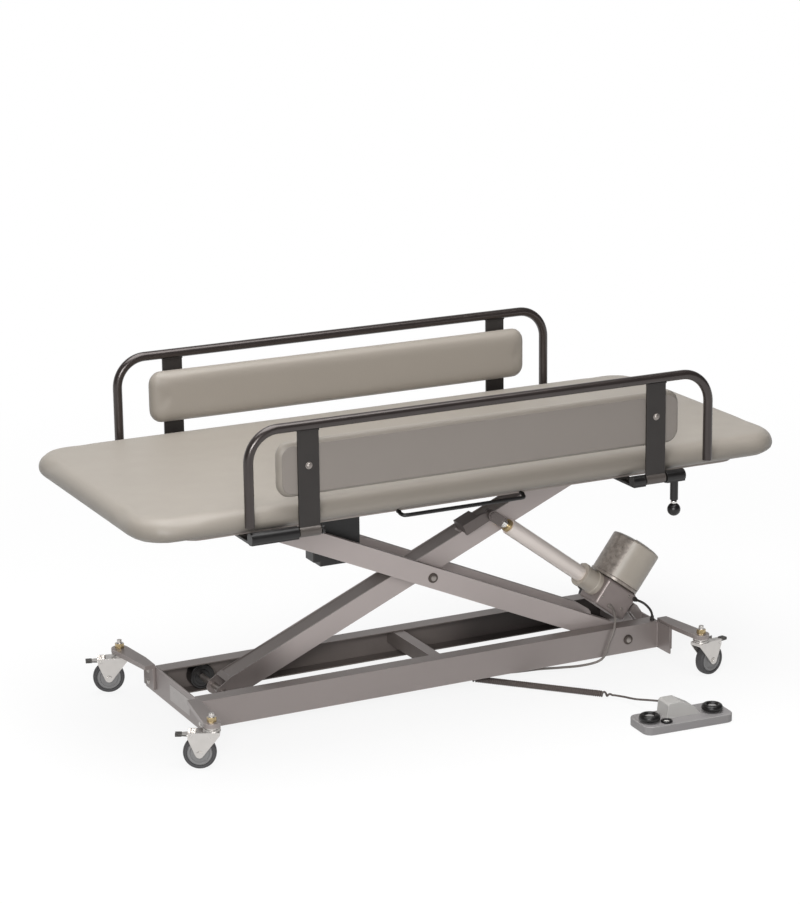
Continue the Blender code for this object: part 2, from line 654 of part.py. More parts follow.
def caster_fork(name):
    """A pressed fork about its swivel stem, with its trail along +X and its axle bolt."""
    crown = box(name, (-FORK_FRONT, -LEG_OUTSIDE, FORK_CROWN_BOTTOM),
                (BRAKE_PIVOT_X - BRAKE_INNER - BRAKE_PLATE_THICK, LEG_OUTSIDE, FORK_CROWN_TOP))
    ear_end = BRAKE_PIVOT_X + 2.5 * BRAKE_PIN_RADIUS
    leg = [(-FORK_FRONT, FORK_CROWN_TOP), (-FORK_FRONT, FORK_CROWN_BOTTOM)]
    leg += arc((TRAIL, WHEEL_RADIUS), FORK_LEG_ROUND, 200, 340, 4)
    leg += [(ear_end, BRAKE_PIVOT_Z - 2 * BRAKE_PIN_RADIUS), (ear_end, FORK_CROWN_TOP)]
    legs = [plate("leg", leg, "XZ", *sorted((side * LEG_INSIDE, side * LEG_OUTSIDE))) for side in (-1, 1)]
    head = cylinder("head", FORK_HEAD_RADIUS, (0, 0, FORK_CROWN_BOTTOM + FORK_CROWN_THICK / 2),
                    (0, 0, CASTER_ARM_BOTTOM - SHAFT_GAP), 12)
    axle_end = LEG_OUTSIDE + AXLE_HEAD_THICK
    axle = across("axle", AXLE_RADIUS, TRAIL, WHEEL_RADIUS, -axle_end, axle_end, 10)
    heads = [across("axle_head", AXLE_HEAD_RADIUS, TRAIL, WHEEL_RADIUS,
                    *sorted((side * LEG_INSIDE, side * axle_end)), 6) for side in (-1, 1)]
    fork = joined(crown, *legs, head, axle, *heads)
    bore = cylinder("bore", STEM_RADIUS + SHAFT_GAP, (0, 0, FORK_CROWN_BOTTOM - FORK_TOP_GAP),
                    (0, 0, CASTER_ARM_TOP), 12)
    pin_hole = across("pin_hole", BRAKE_PIN_RADIUS + SHAFT_GAP, BRAKE_PIVOT_X, BRAKE_PIVOT_Z,
                      -2 * LEG_OUTSIDE, 2 * LEG_OUTSIDE, 8)
    return cut(fork, bore, pin_hole)


def caster_wheel(name):
    """A wheel about its axle: round-shouldered tyre, recessed hub, running bore."""
    half = WHEEL_WIDTH / 2
    shoulder = WHEEL_RADIUS - WHEEL_TREAD_ROUND
    bore = AXLE_RADIUS + SHAFT_GAP
    recess = half - WHEEL_TREAD_ROUND / 2
    tread = [(shoulder + dr, half - WHEEL_TREAD_ROUND + dy)
             for dy, dr in arc((0, 0), WHEEL_TREAD_ROUND, 0, 90, 2)]
    upper = [(bore, half), (AXLE_HEAD_RADIUS, half), (AXLE_HEAD_RADIUS, recess), (WHEEL_HUB_RADIUS, recess),
             (WHEEL_HUB_RADIUS + WHEEL_TREAD_ROUND / 2, half)] + tread
    lower = [(radius, -along) for radius, along in reversed(upper)]
    return turned(name, upper + lower, "Y", 16, ring=True)


def brake_pedal(name):
    """A pressed pedal about its cross pin, with a thick tip."""
    half = LEG_INSIDE - BRAKE_SIDE_GAP
    tip_half = BRAKE_TIP_WIDTH / 2
    outline = [(-BRAKE_INNER, -half), (BRAKE_INNER, -half), (BRAKE_REACH, -tip_half),
               (BRAKE_REACH, tip_half), (BRAKE_INNER, half), (-BRAKE_INNER, half)]
    pedal = plate(name, outline, "XY", -BRAKE_PLATE_THICK / 2, BRAKE_PLATE_THICK / 2)
    pin = across("pin", BRAKE_PIN_RADIUS, 0, 0, -LEG_OUTSIDE, LEG_OUTSIDE, 10)
    tip = box("tip", (BRAKE_REACH - BRAKE_TIP_LENGTH, -tip_half, -BRAKE_TIP_THICK / 2),
              (BRAKE_REACH + BRAKE_PLATE_THICK / 2, tip_half, BRAKE_TIP_THICK / 2))
    return joined(pedal, pin, tip)


def casters(table):
    for where, (side_x, side_y, trail) in CASTERS.items():
        hold(caster_arm("caster_arm_" + where, side_x, side_y), table, "silver_paint")
        swivel = pivot("swivel_" + where, table, (side_x * STEM_X, side_y * STEM_Y, 0),
                       turn_z=math.atan2(trail[1], trail[0]))
        ride(caster_fork("caster_fork_" + where), swivel, "zinc")
        ride(caster_wheel("caster_wheel_" + where), swivel, "grey_tyre", (TRAIL, 0, WHEEL_RADIUS))
        ride(brake_pedal("brake_pedal_" + where), swivel, "zinc", (BRAKE_PIVOT_X, 0, BRAKE_PIVOT_Z))


# Scissor lift
def scissor_arm(name, right_end, width, middle_y):
    """A box tube along X, from a pivot at its right end to one a span away, with rounded open ends."""
    half = ARM_HEIGHT / 2
    left_end = right_end - ARM_SPAN
    outline = arc((right_end, 0), ARM_END_RADIUS, -75, 75, 6)
    outline += [(right_end - ARM_TAPER, half), (left_end + ARM_TAPER, half)]
    outline += arc((left_end, 0), ARM_END_RADIUS, 105, 255, 6)
    outline += [(left_end + ARM_TAPER, -half), (right_end - ARM_TAPER, -half)]
    arm = plate(name, outline, "XZ", middle_y - width / 2, middle_y + width / 2)
    inside = box("inside", (left_end - ARM_HEIGHT, middle_y - width / 2 + ARM_WALL, ARM_WALL - half),
                 (right_end + ARM_HEIGHT, middle_y + width / 2 - ARM_WALL, half - ARM_WALL))
    holes = [across("hole", SHAFT_RADIUS + SHAFT_GAP, x, 0, middle_y - width, middle_y + width)
             for x in (right_end, right_end - ARM_SPAN / 2, left_end)]
    return cut(arm, inside, *holes)


def roller_pair(carrier, name, x, radius):
    near = OUTER_ARM_OUTSIDE + ROLLER_SIDE_GAP
    far = WEB_INSIDE - ROLLER_SIDE_GAP
    half = (far - near) / 2
    bore = SHAFT_RADIUS + SHAFT_GAP
    profile = [(bore, half), (radius, half), (radius, -half), (bore, -half)]
    for side, where in ((-1, "front"), (1, "rear")):
        roller = turned(name + "_roller_" + where, profile, "Y", 16, ring=True)
        ride(roller, carrier, "black_plastic", (x, side * (near + far) / 2, 0))


def scissor_lift(outer, inner):
    for side, where in ((-1, "front"), (1, "rear")):
        middle = side * (OUTER_ARM_INSIDE + OUTER_ARM_OUTSIDE) / 2
        ride(scissor_arm("outer_arm_" + where, 0, OUTER_ARM_WIDTH, middle), outer, "silver_paint")
    reach = WEB_INSIDE - ROLLER_SIDE_GAP / 2
    ride(across("upper_roller_shaft", SHAFT_RADIUS, -ARM_SPAN, 0, -reach, reach), outer, "zinc")
    roller_pair(outer, "upper", -ARM_SPAN, DECK_CHANNEL_HEIGHT / 2 - CHANNEL_WALL - ROLLER_GAP)
    head_start = OUTER_ARM_OUTSIDE + FACE_GAP
    shaft_end = head_start + SHAFT_HEAD_THICK / 2
    shaft = across("centre_pivot_shaft", SHAFT_RADIUS, -ARM_SPAN / 2, 0, -shaft_end, shaft_end)
    heads = [across("head", SHAFT_HEAD_RADIUS, -ARM_SPAN / 2, 0, side * head_start,
                    side * (head_start + SHAFT_HEAD_THICK), 6) for side in (-1, 1)]
    ride(joined(shaft, *heads), outer, "zinc")
    ride(joined(scissor_arm("inner_arm", ARM_SPAN / 2, INNER_ARM_WIDTH, INNER_ARM_Y), *head_bracket()),
         inner, "silver_paint")
    ride(across("lower_roller_shaft", SHAFT_RADIUS, -ARM_SPAN / 2, 0, -reach, reach), inner, "zinc")
    roller_pair(inner, "lower", -ARM_SPAN / 2, BASE_HEIGHT / 2 - CHANNEL_WALL - ROLLER_GAP)


def head_bracket():
    """The inner arm's bracket: a foot on top of the arm, and a lug that the rod's fork straddles."""
    low = ACTUATOR_Y - HEAD_LUG_THICK / 2
    back = HEAD_PIN_ALONG - HEAD_FOOT_BACK
    foot_bottom = ARM_HEIGHT / 2 - ARM_WALL / 2
    foot_top = ARM_HEIGHT / 2 + HEAD_FOOT_HEIGHT
    inset = ARM_WALL
    foot = box("foot", (back + inset, ACTUATOR_Y, foot_bottom + inset / 4),
               (back + HEAD_FOOT_LENGTH - inset, INNER_ARM_Y, foot_top - inset))
    outline = [(back, foot_bottom), (HEAD_PIN_ALONG, HEAD_PIN_ABOVE - HEAD_LUG_RADIUS)]
    outline += arc((HEAD_PIN_ALONG, HEAD_PIN_ABOVE), HEAD_LUG_RADIUS, -60, 60, 6)
    outline += [(back + HEAD_FOOT_LENGTH, foot_top), (back, foot_top)]
    return foot, plate("lug", outline, "XZ", low, ACTUATOR_Y + HEAD_LUG_THICK / 2)


# Actuator, in axes with its foot pivot at the origin, its rod along -X and its motor along +Z
def actuator(barrel, rod_slide, reach):
    half = GEARBOX_WIDTH / 2
    gearbox = box("actuator_gearbox", (-GEARBOX_FAR, ACTUATOR_Y - half, -GEARBOX_BELOW),
                  (-GEARBOX_NEAR, ACTUATOR_Y + half, GEARBOX_ABOVE), GEARBOX_ROUND)
    lug = arc((0, 0), FOOT_LUG_RADIUS, -90, 90, 8)
    lug += [(-GEARBOX_NEAR - GEARBOX_ROUND, FOOT_LUG_RADIUS), (-GEARBOX_NEAR - GEARBOX_ROUND, -FOOT_LUG_RADIUS)]
    lug = plate("lug", lug, "XZ", ACTUATOR_Y - FOOT_LUG_THICK / 2, ACTUATOR_Y + FOOT_LUG_THICK / 2)
    hole = across("hole", FOOT_PIN_RADIUS + SHAFT_GAP, 0, 0, ACTUATOR_Y - half, ACTUATOR_Y + half)
    ride(cut(joined(gearbox, lug), hole), barrel, "motor_plastic")
    top = reach - TUBE_STOP
    neck_start = GEARBOX_FAR + FACE_GAP
    neck_end = neck_start + NECK_LENGTH
    bore = ROD_RADIUS + SHAFT_GAP
    profile = [(0, -neck_start), (NECK_RADIUS, -neck_start), (NECK_RADIUS, -neck_end), (TUBE_RADIUS, -neck_end),
               (TUBE_RADIUS, WIPER_LENGTH - top), (WIPER_RADIUS, WIPER_LENGTH - top), (WIPER_RADIUS, -top),
               (bore, -top), (bore, -neck_end), (0, -neck_end)]
    ride(turned("actuator_tube", profile, "X", 18), barrel, "silver_paint", (0, ACTUATOR_Y, 0))
    motor_low = GEARBOX_ABOVE + FACE_GAP
    motor_high = motor_low + MOTOR_HEIGHT
    edge = arc((MOTOR_RADIUS - MOTOR_ROUND, motor_high - MOTOR_DOME - MOTOR_ROUND), MOTOR_ROUND, 0, 75, 4)
    profile = [(0, motor_low), (MOTOR_RADIUS, motor_low)] + edge + [(0, motor_high)]
    ride(turned("actuator_motor", profile, "Z", 22), barrel, "motor_plastic", (-MOTOR_ALONG, ACTUATOR_Y, 0))
    ride(actuator_rod(reach), rod_slide, "chrome")


def actuator_rod(reach):
    """The chrome rod, and a fork with a bolt head on each cheek."""
    fork_end = reach - ROD_FORK_START
    rod = cylinder("rod", ROD_RADIUS, (ROD_FORK_THICK / 2 - fork_end, ACTUATOR_Y, 0),
                   (-ROD_INSIDE, ACTUATOR_Y, 0), 16)
    cheek = arc((-reach, 0), ROD_CHEEK_RADIUS, 90, 270, 8)
    cheek_end = ROD_FORK_THICK / 2 - fork_end
    cheek += [(cheek_end, -ROD_CHEEK_RADIUS), (cheek_end, ROD_CHEEK_RADIUS)]
    near = HEAD_LUG_THICK / 2 + HEAD_SIDE_GAP
    far = near + ROD_CHEEK_THICK
    cheeks = [plate("cheek", cheek, "XZ", ACTUATOR_Y + low, ACTUATOR_Y + high)
              for low, high in ((-far, -near), (near, far))]
    bridge_half = ROD_CHEEK_RADIUS * 0.9
    bridge = box("actuator_rod", (-fork_end, ACTUATOR_Y - far + HEAD_SIDE_GAP, -bridge_half),
                 (ROD_FORK_THICK - fork_end, ACTUATOR_Y + far - HEAD_SIDE_GAP, bridge_half))
    bolts = [across("bolt", HEAD_BOLT_RADIUS, -reach, 0, ACTUATOR_Y + side * (far - HEAD_BOLT_THICK),
                    ACTUATOR_Y + side * (far + HEAD_BOLT_THICK), 12) for side in (-1, 1)]
    return joined(bridge, rod, *cheeks, *bolts)


# Deck
def deck_pieces(deck):
    board = rounded_slab("deck_board", DECK_HALF_LENGTH, DECK_HALF_WIDTH, DECK_CORNER, BOARD_BOTTOM, DECK_TOP)
    ribs = []
    for side in (-1, 1):
        low_y, high_y = sorted((side * (BASE_HALF_WIDTH - CHANNEL_FLANGE), side * BASE_HALF_WIDTH))
        ribs.append(box("rib", (-DECK_CHANNEL_HALF_LENGTH, low_y, DECK_BOTTOM),
                        (DECK_CHANNEL_HALF_LENGTH, high_y, BOARD_BOTTOM + DECK_THICK / 2)))
    hold(joined(board, *ribs), deck, "board")
    for side, where in ((-1, "front"), (1, "rear")):
        runner = channel("deck_channel_" + where, side, BASE_HALF_WIDTH, DECK_PIVOT_Z - DECK_CHANNEL_HEIGHT / 2,
                         DECK_CHANNEL_HEIGHT, -DECK_CHANNEL_HALF_LENGTH, DECK_CHANNEL_HALF_LENGTH)
        hold(runner, deck, "silver_paint")
    reach = WEB_INSIDE - FACE_GAP
    hold(across("upper_pivot_shaft", SHAFT_RADIUS, FIXED_PIVOT_X, DECK_PIVOT_Z, -reach, reach), deck, "zinc")
    pad = cushion("mattress_pad", PAD_LENGTH, PAD_WIDTH, PAD_THICK, PAD_CORNER, PAD_EDGE, PAD_CROWN, PAD_DRAW, 8)
    pad.data.transform(Matrix.Translation((0, 0, DECK_TOP + FACE_GAP)))
    hold(pad, deck, "vinyl")
    left = CONTROL_BOX_LEFT
    right = left + CONTROL_BOX_LENGTH
    top = BOARD_BOTTOM - FACE_GAP
    bottom = top - CONTROL_BOX_HEIGHT
    near = CONTROL_BOX_Y - CONTROL_BOX_WIDTH / 2
    outline = [(left, top), (left, bottom + CONTROL_BOX_STEP_HEIGHT),
               (left + CONTROL_BOX_STEP_LENGTH, bottom + CONTROL_BOX_STEP_HEIGHT),
               (left + CONTROL_BOX_STEP_LENGTH, bottom), (right, bottom), (right, top)]
    hold(plate("control_box", outline, "XZ", near, near + CONTROL_BOX_WIDTH), deck, "black_plastic")
    hold(tube("rod_handle", handle_route(), HANDLE_RADIUS, 2), deck, "black_plastic")


def handle_route():
    """A bent rod in front of the deck's edge, whose ends run back into the edge."""
    seat = -DECK_HALF_WIDTH - FACE_GAP
    front = -DECK_HALF_WIDTH - HANDLE_OUT
    high = BOARD_BOTTOM + DECK_THICK / 2
    low = high - HANDLE_DROP
    half = HANDLE_BEND / 2
    left = [(HANDLE_LEFT, seat, high), (HANDLE_LEFT, seat - 2 * HANDLE_RADIUS, high),
            (HANDLE_LEFT, front + HANDLE_BEND, (high + low) / 2), (HANDLE_LEFT + half / 2, front + half / 2, low),
            (HANDLE_LEFT + HANDLE_BEND, front, low)]
    right = [(HANDLE_RIGHT + HANDLE_LEFT - x, y, z) for x, y, z in reversed(left)]
    return np.vstack([smooth_route(left, 2 * HANDLE_RADIUS, (True, False)),
                      smooth_route(right, 2 * HANDLE_RADIUS, (False, True))])


# Side rails. Side is -1 for the front rail and 1 for the rear rail
def rail_frame(name, side):
    """Bent hoop, two straps with their bolt heads, and a hinge knuckle under each strap."""
    top = HINGE_Z + HOOP_RISE
    left_bend = arc((HOOP_BEND - HOOP_HALF_WIDTH, top - HOOP_BEND), HOOP_BEND, 180, 90, 6)
    right_bend = [(-x, z) for x, z in reversed(left_bend)]
    line = [(-HOOP_HALF_WIDTH, HINGE_Z + HOOP_LEG_END)] + left_bend + right_bend
    line.append((HOOP_HALF_WIDTH, HINGE_Z + HOOP_LEG_END))
    hoop = baked(tube(name, [(x, side * HOOP_Y, z) for x, z in line], HOOP_RADIUS, 3))
    low_y, high_y = sorted((side * (HOOP_Y - STRAP_THICK / 2), side * (HOOP_Y + STRAP_THICK / 2)))
    pieces = []
    bores = []
    for x in (-STRAP_X, STRAP_X):
        left = x - STRAP_WIDTH / 2
        right = x + STRAP_WIDTH / 2
        pieces.append(box("strap", (left, low_y, HINGE_Z), (right, high_y, top)))
        pieces.append(cylinder("knuckle", KNUCKLE_RADIUS, (left, side * HINGE_Y, HINGE_Z),
                               (right, side * HINGE_Y, HINGE_Z), 14))
        bolt_start = side * HOOP_Y
        bolt_end = side * (HOOP_Y + STRAP_THICK / 2 + STRAP_BOLT_THICK)
        pieces.append(across("bolt", STRAP_BOLT_RADIUS, x, HINGE_Z + STRAP_BOLT_RISE, bolt_start, bolt_end, 12))
        bores.append(cylinder("bore", HINGE_PIN_RADIUS + SHAFT_GAP, (left - STRAP_WIDTH, side * HINGE_Y, HINGE_Z),
                              (right + STRAP_WIDTH, side * HINGE_Y, HINGE_Z), 14))
    return cut(joined(hoop, *pieces), *bores)


def hinge_barrel(side, low_x, high_x, radius):
    """A barrel on the hinge axis, with a web and a flange that bolts under the deck."""
    barrel = cylinder("barrel", radius, (low_x, side * HINGE_Y, HINGE_Z), (high_x, side * HINGE_Y, HINGE_Z), 16)
    flange_top = BOARD_BOTTOM - FACE_GAP
    flange_low = flange_top - HINGE_FLANGE_THICK
    section = [(HINGE_Y + HINGE_WEB_HALF, HINGE_Z), (HINGE_Y + HINGE_WEB_HALF, flange_low),
               (DECK_HALF_WIDTH - HINGE_FLANGE_REACH, flange_low), (DECK_HALF_WIDTH - HINGE_FLANGE_REACH, flange_top),
               (HINGE_Y - HINGE_WEB_HALF, flange_top), (HINGE_Y - HINGE_WEB_HALF, HINGE_Z)]
    web = plate("web", [(side * y, z) for y, z in section], "YZ", low_x, high_x)
    return barrel, web


def hinge_pin(side, low_x, high_x):
    return cylinder("pin", HINGE_PIN_RADIUS, (low_x, side * HINGE_Y, HINGE_Z), (high_x, side * HINGE_Y, HINGE_Z), 14)


def left_hinge(name, side):
    """A long barrel to the left of the strap, whose pin runs through the knuckle to a collar."""
    barrel_end = -STRAP_X - STRAP_WIDTH / 2 - BARREL_GAP
    collar_start = -STRAP_X + STRAP_WIDTH / 2 + BARREL_GAP
    barrel, web = hinge_barrel(side, barrel_end - LEFT_BARREL_LENGTH, barrel_end, BARREL_RADIUS)
    barrel.name = name
    pin = hinge_pin(side, barrel_end - STRAP_WIDTH / 2, collar_start + PIN_COLLAR_LENGTH / 2)
    collar = cylinder("collar", PIN_COLLAR_RADIUS, (collar_start, side * HINGE_Y, HINGE_Z),
                      (collar_start + PIN_COLLAR_LENGTH, side * HINGE_Y, HINGE_Z), 14)
    return joined(barrel, web, pin, collar)


def right_hinge(name, side):
    """Two barrels that hold a pin through the knuckle, and the lock plunger's guide tube."""
    near = STRAP_X - STRAP_WIDTH / 2 - BARREL_GAP
    far = STRAP_X + STRAP_WIDTH / 2 + BARREL_GAP
    barrel, web = hinge_barrel(side, far, far + RIGHT_BARREL_LENGTH, BARREL_RADIUS)
    barrel.name = name
    small, small_web = hinge_barrel(side, near - SMALL_BARREL_LENGTH, near, SMALL_BARREL_RADIUS)
    pin = hinge_pin(side, near - SMALL_BARREL_LENGTH / 2, far + RIGHT_BARREL_LENGTH / 2)
    x, y = PLUNGER_X, side * (HINGE_Y - PLUNGER_IN)
    guide = cylinder("guide", GUIDE_RADIUS, (x, y, HINGE_Z - GUIDE_BOTTOM_DROP), (x, y, HINGE_Z), 14)
    bore = cylinder("bore", PLUNGER_RADIUS + SHAFT_GAP, (x, y, HINGE_Z - KNOB_DROP),
                    (x, y, HINGE_Z - GUIDE_BORE_TOP_DROP), 12)
    return cut(joined(barrel, web, small, small_web, pin, guide), bore)


def lock_plunger(name):
    """A pin with a ball knob, about its own axis, with Z 0 at the hinge's height."""
    knob = [(KNOB_RADIUS * math.cos(a), KNOB_RADIUS * math.sin(a) - KNOB_DROP)
            for a in np.radians(np.linspace(-90, 70, 7))]
    knob[0] = (0, knob[0][1])
    profile = knob + [(PLUNGER_RADIUS, knob[-1][1]), (PLUNGER_RADIUS, -PLUNGER_TOP_DROP), (0, -PLUNGER_TOP_DROP)]
    return turned(name, profile, "Z", 12)


def side_rails(deck):
    for side, where in ((-1, "front"), (1, "rear")):
        hold(left_hinge("hinge_left_" + where, side), deck, "black_plastic")
        hold(right_hinge("hinge_right_" + where, side), deck, "black_plastic")
        deck_at = deck.matrix_world.translation
        slide = pivot("plunger_slide_" + where, deck,
                      Vector((PLUNGER_X, side * (HINGE_Y - PLUNGER_IN), HINGE_Z)) - deck_at)
        ride(lock_plunger("lock_plunger_" + where), slide, "black_plastic")
        fold = pivot("rail_fold_" + where, deck, Vector((0, side * HINGE_Y, HINGE_Z)) - deck_at)
        hold(rail_frame("rail_frame_" + where, side), fold, "dark_paint")
        bolster = cushion("bolster_" + where, BOLSTER_LENGTH, BOLSTER_HEIGHT, BOLSTER_THICK, BOLSTER_CORNER,
                          BOLSTER_EDGE, BOLSTER_CROWN, BOLSTER_DRAW, 6)
        back = side * (HOOP_Y - STRAP_THICK / 2 - FACE_GAP)
        stand = Matrix(((1, 0, 0), (0, 0, -side), (0, side, 0))).to_4x4()
        middle = HINGE_Z + BOLSTER_RISE + BOLSTER_HEIGHT / 2
        bolster.data.transform(Matrix.Translation((0, back, middle)) @ stand)
        hold(bolster, fold, "vinyl")


# Foot switch, in axes with the middle of its underside at the origin
def foot_switch(switch):
    slab = rounded_slab("foot_switch_base", SWITCH_LENGTH / 2, SWITCH_WIDTH / 2, SWITCH_CORNER, 0, SWITCH_HEIGHT)
    round_off = HUMP_HEIGHT - SWITCH_HEIGHT
    sunk = SWITCH_HEIGHT / 2
    outline = [(HUMP_LEFT, sunk), (HUMP_RIGHT, sunk), (HUMP_RIGHT, SWITCH_HEIGHT)]
    outline += [(HUMP_RIGHT - round_off / 3, SWITCH_HEIGHT + round_off * 0.45), (0, HUMP_HEIGHT - round_off / 10)]
    outline += [(-round_off / 6, HUMP_HEIGHT), (HUMP_LEFT + round_off / 4, HUMP_HEIGHT)]
    outline += [(HUMP_LEFT + round_off / 12, HUMP_HEIGHT - round_off / 8), (HUMP_LEFT, SWITCH_HEIGHT)]
    hump = plate("hump", outline, "XZ", HUMP_FRONT, HUMP_BACK)
    pockets = [cylinder("pocket", BUTTON_STEM_RADIUS + SHAFT_GAP, (x, BUTTON_Y, SWITCH_HEIGHT - BUTTON_POCKET_DEPTH),
                        (x, BUTTON_Y, 2 * SWITCH_HEIGHT), 16) for x in (BUTTON_LEFT, BUTTON_RIGHT)]
    ride(cut(joined(slab, hump), *pockets), switch, "switch_grey")
    top = BUTTON_LIFT + BUTTON_HEIGHT
    dish = top - BUTTON_DISH_DEPTH
    stem_end = -BUTTON_STEM_DEPTH
    shoulder = arc((BUTTON_RADIUS - BUTTON_LIFT, top - BUTTON_LIFT), BUTTON_LIFT, 90, 0, 3)
    profile = [(0, dish), (BUTTON_DISH_RADIUS, dish), (BUTTON_DISH_RADIUS, top)] + shoulder
    profile += [(BUTTON_RADIUS, BUTTON_LIFT), (BUTTON_STEM_RADIUS, BUTTON_LIFT), (BUTTON_STEM_RADIUS, stem_end),
                (0, stem_end)]
    for x, where in ((BUTTON_LEFT, "left"), (BUTTON_RIGHT, "right")):
        button = turned("foot_button_" + where, profile, "Z", 16)
        ride(button, switch, "black_plastic", (x, BUTTON_Y, SWITCH_HEIGHT))
    wire = arc((RING_RADIUS, 0), RING_WIRE_RADIUS, 0, 300, 5)
    ring = turned("foot_switch_ring", wire, "Z", 16, ring=True)
    lift = SWITCH_HEIGHT + RING_WIRE_RADIUS + FACE_GAP
    ride(ring, switch, "black_plastic", (RING_X, RING_Y, lift))


def moved_along(points, start_x):
    return [(start_x + x, y, z) for x, y, z in points]


def motor_cable_route():
    """Down over the front rail from the motor, and along under the base to its gland."""
    drop = moved_along(MOTOR_CABLE_DROP, FOOT_PIVOT_X)
    run = moved_along(MOTOR_CABLE_RUN, GLAND_END)
    low = ((drop[-1][0] + run[0][0]) / 2, *MOTOR_CABLE_LOW)
    return smooth_route(drop + [low] + run, 5 * CABLE_RADIUS)


def curly_cord_route():
    """One line: in from the gland, round the curls along the floor, and out to the foot switch."""
    height = CURL_RADIUS + CORD_RADIUS + CURL_FLOOR_GAP
    start = np.array([*CURL_START, height])
    end = np.array([*CURL_END, height])
    forward = (end - start) / np.linalg.norm(end - start)
    sideways = np.cross(forward, (0, 0, 1))
    turns = np.arange(1, CURLS * POINTS_PER_CURL) / POINTS_PER_CURL
    ramp = np.minimum(1, np.minimum(turns, CURLS - turns))[:, None]
    angles = 2 * math.pi * turns[:, None]
    advance = turns + np.minimum(turns, 1) + np.maximum(turns - CURLS + 1, 0)
    curls = start + (end - start) * advance[:, None] / (CURLS + 2)
    curls = curls + CURL_RADIUS * ramp * (np.cos(angles) * sideways + np.sin(angles) * np.array([0, 0, 1]))
    lead_in = smooth_route(moved_along(CORD_IN, GLAND_END) + [tuple(start)], 5 * CORD_RADIUS, (True, False))
    lead_out = smooth_route([tuple(end)] + CORD_OUT, 5 * CORD_RADIUS, (False, True))
    return np.vstack([lead_in, curls, lead_out])


def least_self_gap(points, radius):
    """The least gap between stretches of a tube that are more than a few points apart along it."""
    fine = np.vstack([points[:-1] * (1 - share) + points[1:] * share for share in (0, 0.25, 0.5, 0.75)])
    order = np.concatenate([np.arange(len(points) - 1) + share for share in (0, 0.25, 0.5, 0.75)])
    least = math.inf
    for place, here in zip(order, fine):
        apart = np.abs(order - place) >= POINTS_PER_CURL / 2
        least = min(least, np.linalg.norm(fine[apart] - here, axis=1).min())
    return least - 2 * radius


def cords(table):
    route = curly_cord_route()
    hold(tube("curly_cord", route, CORD_RADIUS, 1), table, "black_cord")
    print(f"curly cord: {CURLS} curls, least gap to itself {1000 * least_self_gap(route, CORD_RADIUS):.2f} mm")
    hold(tube("motor_cable", motor_cable_route(), CABLE_RADIUS, 2), table, "grey_cord")
    lead = smooth_route(moved_along(MOTOR_LEAD, FOOT_PIVOT_X), 4 * CABLE_RADIUS)
    hold(tube("motor_lead", lead, CABLE_RADIUS, 2), table, "black_cord")


# The whole table
table_root = pivot("changing_table", None, (0, 0, 0))
base_frame(table_root)
casters(table_root)

outer_pivot = pivot("outer_arms", table_root, (FIXED_PIVOT_X, 0, PIVOT_Z), turn_y=LIFT_ANGLE)
inner_pivot = pivot("inner_arms", table_root, (CENTRE_X, 0, CENTRE_Z), turn_y=-LIFT_ANGLE)
scissor_lift(outer_pivot, inner_pivot)

head_pin = inner_pivot.matrix_world @ Vector((HEAD_PIN_ALONG, 0, HEAD_PIN_ABOVE))
rod_run = Vector((FOOT_PIVOT_X, 0, FOOT_PIVOT_Z)) - head_pin
barrel_pivot = pivot("actuator", table_root, (FOOT_PIVOT_X, 0, FOOT_PIVOT_Z), turn_y=math.atan2(-rod_run.z, rod_run.x))
rod_slider = pivot("rod_slide", barrel_pivot, (0, 0, 0))
actuator(barrel_pivot, rod_slider, rod_run.length)

deck_pivot = pivot("deck", table_root, (FIXED_PIVOT_X, 0, DECK_PIVOT_Z))
deck_pieces(deck_pivot)
side_rails(deck_pivot)

switch_pivot = pivot("foot_switch", table_root, (SWITCH_X, SWITCH_Y, 0), turn_z=SWITCH_TURN)
foot_switch(switch_pivot)
cords(table_root)

# The origin: midway between the foot switch's front and the rear rail's back
switch_reach = (SWITCH_LENGTH / 2 - SWITCH_CORNER) * abs(math.sin(SWITCH_TURN))
switch_reach += (SWITCH_WIDTH / 2 - SWITCH_CORNER) * math.cos(SWITCH_TURN) + SWITCH_CORNER
rear_reach = max(HINGE_Y + BARREL_RADIUS, HOOP_Y + HOOP_RADIUS, HOOP_Y + STRAP_THICK / 2 + STRAP_BOLT_THICK)
table_root.location.y = (switch_reach - SWITCH_Y - rear_reach) / 2
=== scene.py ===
import json
import math
from contextlib import contextmanager

import bpy
import numpy as np
from mathutils import Matrix, Vector

